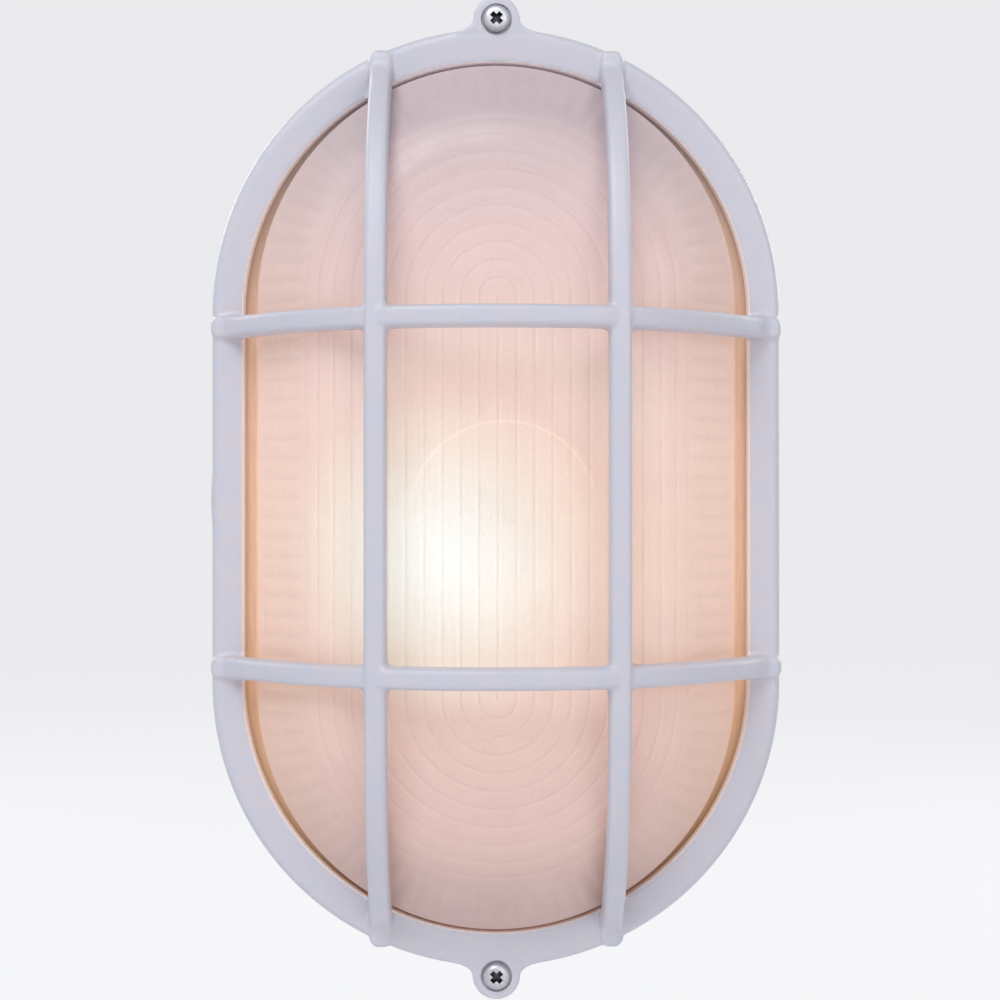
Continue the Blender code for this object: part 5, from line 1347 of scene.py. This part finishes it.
def flange_light(tree, place):
    """The flange inside the ring's opening, as painted light: faint streaks, the ring's painted shadow, the
    dome's painted gleam.
    """
    stretched = add(tree, "ShaderNodeMapping", {"Vector": place, "Scale": FLANGE_STREAK_SHAPE}).outputs[0]
    light = span(tree, noise(tree, stretched, FLANGE_STREAK_SCALE, 2.0), *UNEVEN_SPAN,
                 FLANGE_LIGHT - FLANGE_STREAKS, FLANGE_LIGHT + FLANGE_STREAKS)
    shadow = span(tree, oval_distance(tree, place, OPENING_HALF), OPENING_RADIUS - FLANGE_SHADOW,
                  OPENING_RADIUS, 1.0, FLANGE_SHADOW_LIGHT)
    gleam = span(tree, oval_distance(tree, place, DOME_HALF), foot_radius + FLANGE_GLEAM, foot_radius,
                 1.0, FLANGE_GLEAM_LIGHT)
    return calc(tree, "MULTIPLY", light, calc(tree, "MULTIPLY", shadow, gleam))


def frosted_glass_finish():
    material = finish("frosted_glass", GLASS_TINT, GLASS_SHADE, 0.46, fine=1600.0, coarse=90.0,
                      share=0.3, relief=0.00006)
    tree = material.node_tree
    shader = tree.nodes["Principled BSDF"]
    place = tree.nodes.new("ShaderNodeTexCoord").outputs["Object"]
    down = add(tree, "ShaderNodeAttribute", attribute_name="down").outputs["Fac"]
    on_dome = calc(tree, "GREATER_THAN", down, OFF_DOME / 2)
    depth = add(tree, "ShaderNodeSeparateXYZ", {0: place}).outputs["Y"]
    at_front = span(tree, depth, -flange_front - SOFT, -flange_front - FINE)
    behind = span(tree, depth, -flange_front + SOFT, -flange_front + FINE)
    on_flange = calc(tree, "MULTIPLY", at_front, behind)
    band = add(tree, "ShaderNodeMix", {0: on_flange, 2: 1.0, 3: flange_light(tree, place)}).outputs[0]
    dimmed = calc(tree, "MULTIPLY", relief_light(tree, place, on_dome, down), band)
    lit = add(tree, "ShaderNodeVectorMath", {0: painted_lamp_glow(tree, place, on_dome), "Scale": dimmed},
              operation="SCALE").outputs[0]
    # Painted light: the glass glows as emission, though it is no lamp
    tree.links.new(lit, shader.inputs["Emission Color"])
    shader.inputs["Emission Strength"].default_value = 1.0
    # Painted shade: the flange's base colour turns darker brown
    tone = shader.inputs["Base Color"].links[0].from_socket
    tree.links.new(blend_colours(tree, on_flange, tone, FLANGE_PAINTED_SHADE), shader.inputs["Base Color"])
    return material


frosted_glass = frosted_glass_finish()
arc_steps = FLUTES_PER_END * FLUTE_STEPS
side_steps = FLUTES_PER_SIDE * FLUTE_STEPS
outer_lengths = [rib_pitch * step / RIB_ROWS for step in range(CROWN_RIBS * RIB_ROWS + 1)]
outer_lengths += [ribbed_length + (dome_length - ribbed_length) * (step + 1) / FLUTE_ROWS
                  for step in range(FLUTE_ROWS)]
inner_lengths = [dome_length * (1 - step / INNER_ROWS) for step in range(INNER_ROWS + 1)]
loops = []
for length in outer_lengths:
    distance, depth = dome_spot(length)
    loops.append(oval(distance, DOME_HALF, depth, arc_steps, side_steps))
loops.append(oval(foot_radius, DOME_HALF, flange_front, arc_steps, side_steps))
flange = rounded(((foot_radius + SOFT, flange_front, 0), (FLANGE_RADIUS, flange_front, SOFT),
                  (FLANGE_RADIUS, flange_back, SOFT), (foot_radius, flange_back, 0)), steps=3)
loops += [oval(radius, HALF_STRAIGHT, depth, arc_steps, side_steps) for radius, depth in flange[1:-1]]
loops.append(oval(foot_radius - GLASS_WALL, DOME_HALF, flange_back, arc_steps, side_steps))
for length in inner_lengths:
    distance, depth = dome_spot(length, GLASS_WALL)
    loops.append(oval(distance, DOME_HALF, depth, arc_steps, side_steps))
bm = bmesh.new()
down = bm.verts.layers.float.new("down")
around = bm.verts.layers.float.new("around")
rows = skin(bm, loops, caps=False)
counts = []
for side in (0, 1):
    counts += [side * (FLUTES_PER_SIDE + FLUTES_PER_END) + step / FLUTE_STEPS
               for step in range(side_steps + arc_steps)]
for index, row in enumerate(rows):
    for vert, count in zip(row, counts):
        vert[down] = outer_lengths[index] if index < len(outer_lengths) else OFF_DOME
        vert[around] = count
bmesh.ops.remove_doubles(bm, verts=bm.verts, dist=0.000002)
lens = new_piece("pressed_glass", bm, frosted_glass)
run_tree(lens, glass_relief_tree(), rib_pitch=rib_pitch, rib_depth=RIB_DEPTH,
         ribbed_length=ribbed_length + rib_pitch / RIB_ROWS / 2, flute_depth=FLUTE_DEPTH,
         flute_start=ribbed_length + FLUTE_MARGIN, flute_rise=FLUTE_RISE, flute_end=dome_length,
         material=frosted_glass)
smooth(lens, 35)
fit(lens, "cover", "glass_lens")

# Caged guard
# One white casting: a flat-faced ring with a rounded outer edge and a skirt over the rim, two
# upright and two level bars bowed out over the glass, and a screw ear above and below.
RING_RADIUS = 0.0797
RING_PLATE = 0.0042
RING_ROUND = 0.0024
RING_LIP = 0.0003
LIP_WIDTH = 0.0005
# Painted highlight: a warm light tone on the ring's thin inner lip, where the lamp's light would catch it
LIP_PAINTED_HIGHLIGHT = (0.96, 0.86, 0.80)
RING_DRAFT = 0.0004
SKIRT_WALL = 0.0028
CAGE_HEIGHT = 0.0445
UPRIGHT_OFFSET = 0.0323
LEVEL_OFFSET = 0.0475
BAR_FRONT = 0.0054
BAR_BACK = 0.0066
BAR_THICKNESS = 0.0056
BAR_FRONT_ROUND = 0.0013
BAR_BACK_ROUND = 0.0009
BAR_RAISE = 0.0011
BAR_FOOT_THICKNESS = 0.0026
UPRIGHT_OVERHANG = (0.0012, 0.0005)
LEVEL_OVERHANG = (0.0003, 0.0004)
BAR_ROOT_ROUND = 0.0040
BAR_SPLAY = 0.0045
BAR_ROOT_OUT = 0.0011
BAR_TAPER = 0.0080
FOOT_SPREAD = 0.0012
BAR_END_ROUND = 0.0021
BAR_END_DROP = 0.0065
BAR_NOSE = 0.0022
BAR_NOSE_TAPER = 0.30
GUSSET_RUN = 0.0020
GUSSET_SUNK = 0.0015
GUSSET_SLOPED_BAR = 0.0073
LEVEL_BOW = (2.3, 1.1)
UPRIGHT_BOW = (4.0, 1.3)
BAR_STATIONS = 90
WEB_ROUND = 0.0012
WEB_SUNK = 0.0007
EAR_RADIUS = 0.0067
EAR_FLARE = 0.0080
EAR_ROOT = 0.1303
EAR_RECESS_RADIUS = 0.0044
EAR_RECESS_DEPTH = 0.0009
EAR_HOLE = 0.0028
CASTING_VOXEL = 0.00058
CASTING_SOFTENING = 3
CASTING_KEEP = 0.60

skirt_end = -guard_high.y
plate_back = ring_face - RING_PLATE


def reach(across, radius, half, upright):
    """How far an oval reaches from its middle along a line at a given offset across it."""
    if upright:
        return half + math.sqrt(radius ** 2 - across ** 2)
    return math.sqrt(radius ** 2 - max(abs(across) - half, 0) ** 2)


def bow_share(share, bow):
    return max(1 - abs(share) ** bow[0], 0) ** (1 / bow[1])


def bar_root(across, upright):
    inner = reach(across, OPENING_RADIUS, OPENING_HALF, upright)
    return (inner + reach(across, RING_RADIUS, HALF_STRAIGHT, upright)) / 2


level_root = bar_root(LEVEL_OFFSET, False)
upright_root = bar_root(UPRIGHT_OFFSET, True)
crossing_height = (CAGE_HEIGHT - BAR_RAISE) * bow_share(UPRIGHT_OFFSET / level_root, LEVEL_BOW)
upright_height = crossing_height / bow_share(LEVEL_OFFSET / upright_root, UPRIGHT_BOW)


def bar_height(along, upright):
    if upright:
        return BAR_RAISE + upright_height * bow_share(along / upright_root, UPRIGHT_BOW)
    return BAR_RAISE + (CAGE_HEIGHT - BAR_RAISE) * bow_share(along / level_root, LEVEL_BOW)


def bar_arm(across, upright, overhang):
    """The front line of half a bar as (along, height), from its middle to over the ring's edge."""
    root = upright_root if upright else level_root
    tip = reach(across, RING_RADIUS, HALF_STRAIGHT, upright) + overhang
    bow = []
    for step in range(BAR_STATIONS + 1):
        along = root * math.sin(math.pi / 2 * step / BAR_STATIONS)
        height = bar_height(along, upright)
        if height > BAR_RAISE + BAR_SPLAY:
            bow.append((along, height))
    return bow[:-1] + rounded(((*bow[-1], 0), (root + BAR_ROOT_OUT, BAR_RAISE, BAR_ROOT_ROUND),
                               (tip, BAR_RAISE, BAR_END_ROUND), (tip, -BAR_END_DROP, 0)), steps=6)


def cage_bar(bm, across, upright):
    run_axis = Vector((0, 0, 1)) if upright else Vector((1, 0, 0))
    side = Vector((1, 0, 0)) if upright else Vector((0, 0, 1))
    before, after = UPRIGHT_OVERHANG if upright else LEVEL_OVERHANG
    path = [(-along, height) for along, height in reversed(bar_arm(across, upright, before)[1:])]
    path += bar_arm(across, upright, after)
    loops = []
    for index, (along, height) in enumerate(path):
        before = path[max(index - 1, 0)]
        after = path[min(index + 1, len(path) - 1)]
        run = Vector((after[0] - before[0], after[1] - before[1])).normalized()
        normal = run_axis * -run.y + ROOM * run.x
        spot = side * across + run_axis * along + ROOM * (ring_face + height)
        nose = abs(path[0][0] if along < 0 else path[-1][0]) - BAR_NOSE
        width = 1 - BAR_NOSE_TAPER * (max(abs(along) - nose, 0) / BAR_NOSE) ** 2
        front = width * BAR_FRONT / 2
        share = min(max((height - BAR_RAISE) / BAR_TAPER, 0), 1)
        thickness = BAR_FOOT_THICKNESS + (BAR_THICKNESS - BAR_FOOT_THICKNESS) * share
        back = front + FOOT_SPREAD + ((BAR_BACK - BAR_FRONT) / 2 - FOOT_SPREAD) * share
        section = rounded((
            (-front, 0, BAR_FRONT_ROUND), (front, 0, BAR_FRONT_ROUND), (back, -thickness, BAR_BACK_ROUND),
            (-back, -thickness, BAR_BACK_ROUND)), closed=True)
        loops.append([spot + side * a + normal * out for a, out in section])
    skin(bm, loops)


def crossing_web(bm, x, z):
    """Fillets in the four corners where two bars cross, following both bars' bows."""
    loops = []
    for half_width, sunk in ((BAR_FRONT / 2 - WEB_SUNK, WEB_SUNK), (BAR_BACK / 2, BAR_THICKNESS - WEB_SUNK)):
        points = []
        for quarter in range(4):
            turn = math.pi / 2 * quarter
            for step in range(7):
                angle = math.pi * (1.5 - step / 12)
                across = half_width + WEB_ROUND * (1 + math.cos(angle))
                along = half_width + WEB_ROUND * (1 + math.sin(angle))
                dx = across * math.cos(turn) - along * math.sin(turn)
                dz = across * math.sin(turn) + along * math.cos(turn)
                height = bar_height(x + dx, False) + bar_height(z + dz, True) - crossing_height - BAR_RAISE
                points.append(Vector((x + dx, -ring_face - height + sunk, z + dz)))
        loops.append(points)
    skin(bm, loops)


def root_gusset(bm, across, upright, end):
    """Fillets on both flanks of a bar that run down to the ring's inner edge."""
    half = BAR_FRONT / 2
    root = upright_root if upright else level_root
    plan = []
    for side in (-1, 1):
        near = reach(across + side * half, OPENING_RADIUS, OPENING_HALF, upright)
        far = reach(across + side * (half + GUSSET_RUN), OPENING_RADIUS, OPENING_HALF, upright)
        flank = []
        for step in range(6):
            share = step / 5
            spread = share ** 2 * GUSSET_RUN
            along = (1 - share) ** 2 * (near - GUSSET_RUN) + 2 * share * (1 - share) * near + share ** 2 * far
            front = bar_height(along, upright)
            top = (1 - share) ** 2 * (front - GUSSET_SUNK)
            bottom = (1 - share) * (front - GUSSET_SLOPED_BAR) - share * GUSSET_SUNK
            flank.append((side * (half + spread), along, top, bottom))
        flank.append((side * (half + GUSSET_RUN), root, 0.0, -GUSSET_SUNK))
        plan += flank if side < 0 else flank[::-1]
    loops = []
    for level in (3, 2):
        points = []
        for spot in plan:
            offset, along = spot[:2]
            depth = ring_face - FINE + spot[level]
            if upright:
                points.append(Vector((across + offset, -depth, end * along)))
            else:
                points.append(Vector((end * along, -depth, across + offset)))
        loops.append(points)
    skin(bm, loops)


def paint_lip_highlight(material):
    """A painted highlight: the thin inner lip of the ring is tinted warm and light, where the lamp would
    catch it.
    """
    tree = material.node_tree
    shader = tree.nodes["Principled BSDF"]
    place = tree.nodes.new("ShaderNodeTexCoord").outputs["Object"]
    inner = span(tree, oval_distance(tree, place, OPENING_HALF), OPENING_RADIUS + LIP_WIDTH, OPENING_RADIUS)
    depth = add(tree, "ShaderNodeSeparateXYZ", {0: place}).outputs["Y"]
    below = span(tree, depth, -ring_face - FINE, -ring_face)
    tone = shader.inputs["Base Color"].links[0].from_socket
    lip = calc(tree, "MULTIPLY", inner, below)
    tree.links.new(blend_colours(tree, lip, tone, LIP_PAINTED_HIGHLIGHT), shader.inputs["Base Color"])


section = rounded((
    (OPENING_RADIUS - RING_DRAFT, plate_back, FINE), (OPENING_RADIUS, ring_face, RING_LIP),
    (RING_RADIUS, ring_face, RING_ROUND),
    (RING_RADIUS, skirt_end, FINE), (RING_RADIUS - SKIRT_WALL, skirt_end, FINE),
    (RING_RADIUS - SKIRT_WALL, plate_back, FINE)), steps=8, closed=True)
middle = (OPENING_RADIUS + RING_RADIUS) / 2
bm = bmesh.new()
skin(bm, [oval(radius, OPENING_HALF if radius < middle - OVER / 2 else HALF_STRAIGHT, depth, 120, 40)
          for radius, depth in section], ring=True)
for sign in (-1, 1):
    cage_bar(bm, sign * UPRIGHT_OFFSET, True)
    cage_bar(bm, sign * LEVEL_OFFSET, False)
    screw_ear(bm, EAR_RADIUS, EAR_FLARE, EAR_ROOT, sign, skirt_end, ring_face, SOFT)
    for end in (-1, 1):
        crossing_web(bm, sign * UPRIGHT_OFFSET, end * LEVEL_OFFSET)
        root_gusset(bm, sign * UPRIGHT_OFFSET, True, end)
        root_gusset(bm, sign * LEVEL_OFFSET, False, end)
guard_paint = finish("guard_paint", PAINT, PAINT_COOL, 0.42, fine=1500.0, coarse=170.0,
                     relief=0.00010, share=0.5, worn=BARE_EDGE, dust=0.35)
paint_lip_highlight(guard_paint)
guard = new_piece("guard_casting", bm, guard_paint)
fuse = guard.modifiers.new("fuse", "REMESH")
fuse.mode = "VOXEL"
fuse.voxel_size = CASTING_VOXEL
soften = guard.modifiers.new("soften", "SMOOTH")
soften.factor = 0.5
soften.iterations = CASTING_SOFTENING
thin = guard.modifiers.new("thin", "DECIMATE")
thin.ratio = CASTING_KEEP
settle(guard)

bm = bmesh.new()
for up in (-1, 1):
    turned(bm, ((EAR_HOLE, skirt_end - OVER), (EAR_HOLE, ring_face - EAR_RECESS_DEPTH),
                (EAR_RECESS_RADIUS, ring_face - EAR_RECESS_DEPTH), (EAR_RECESS_RADIUS, ring_face + OVER)),
           facing_room(0, up * ear_z), 64)
carve(guard, "DIFFERENCE", bm, 50)
fit(guard, "cover", "guard_cover")

# Cover screws
# Zinc-plated machine screws with cross recesses, through the guard's ears into the housing's lugs.
COVER_SCREW = (0.0038, 0.0023, 0.0023)
COVER_SCREW_LENGTH = 0.0240
COVER_PITCH = 0.0008

cover_blank = screw_blank("cover_blank", COVER_SCREW, COVER_SCREW_LENGTH, COVER_PITCH, zinc, True, 40)
for word in ("top", "bottom"):
    drive("cover_screw_" + word + "_turned", cover_blank, zinc, COVER_SCREW[1],
          [("cover_screw_" + word, ROOM)], "cover_screw_" + word)
bpy.data.objects.remove(cover_blank)
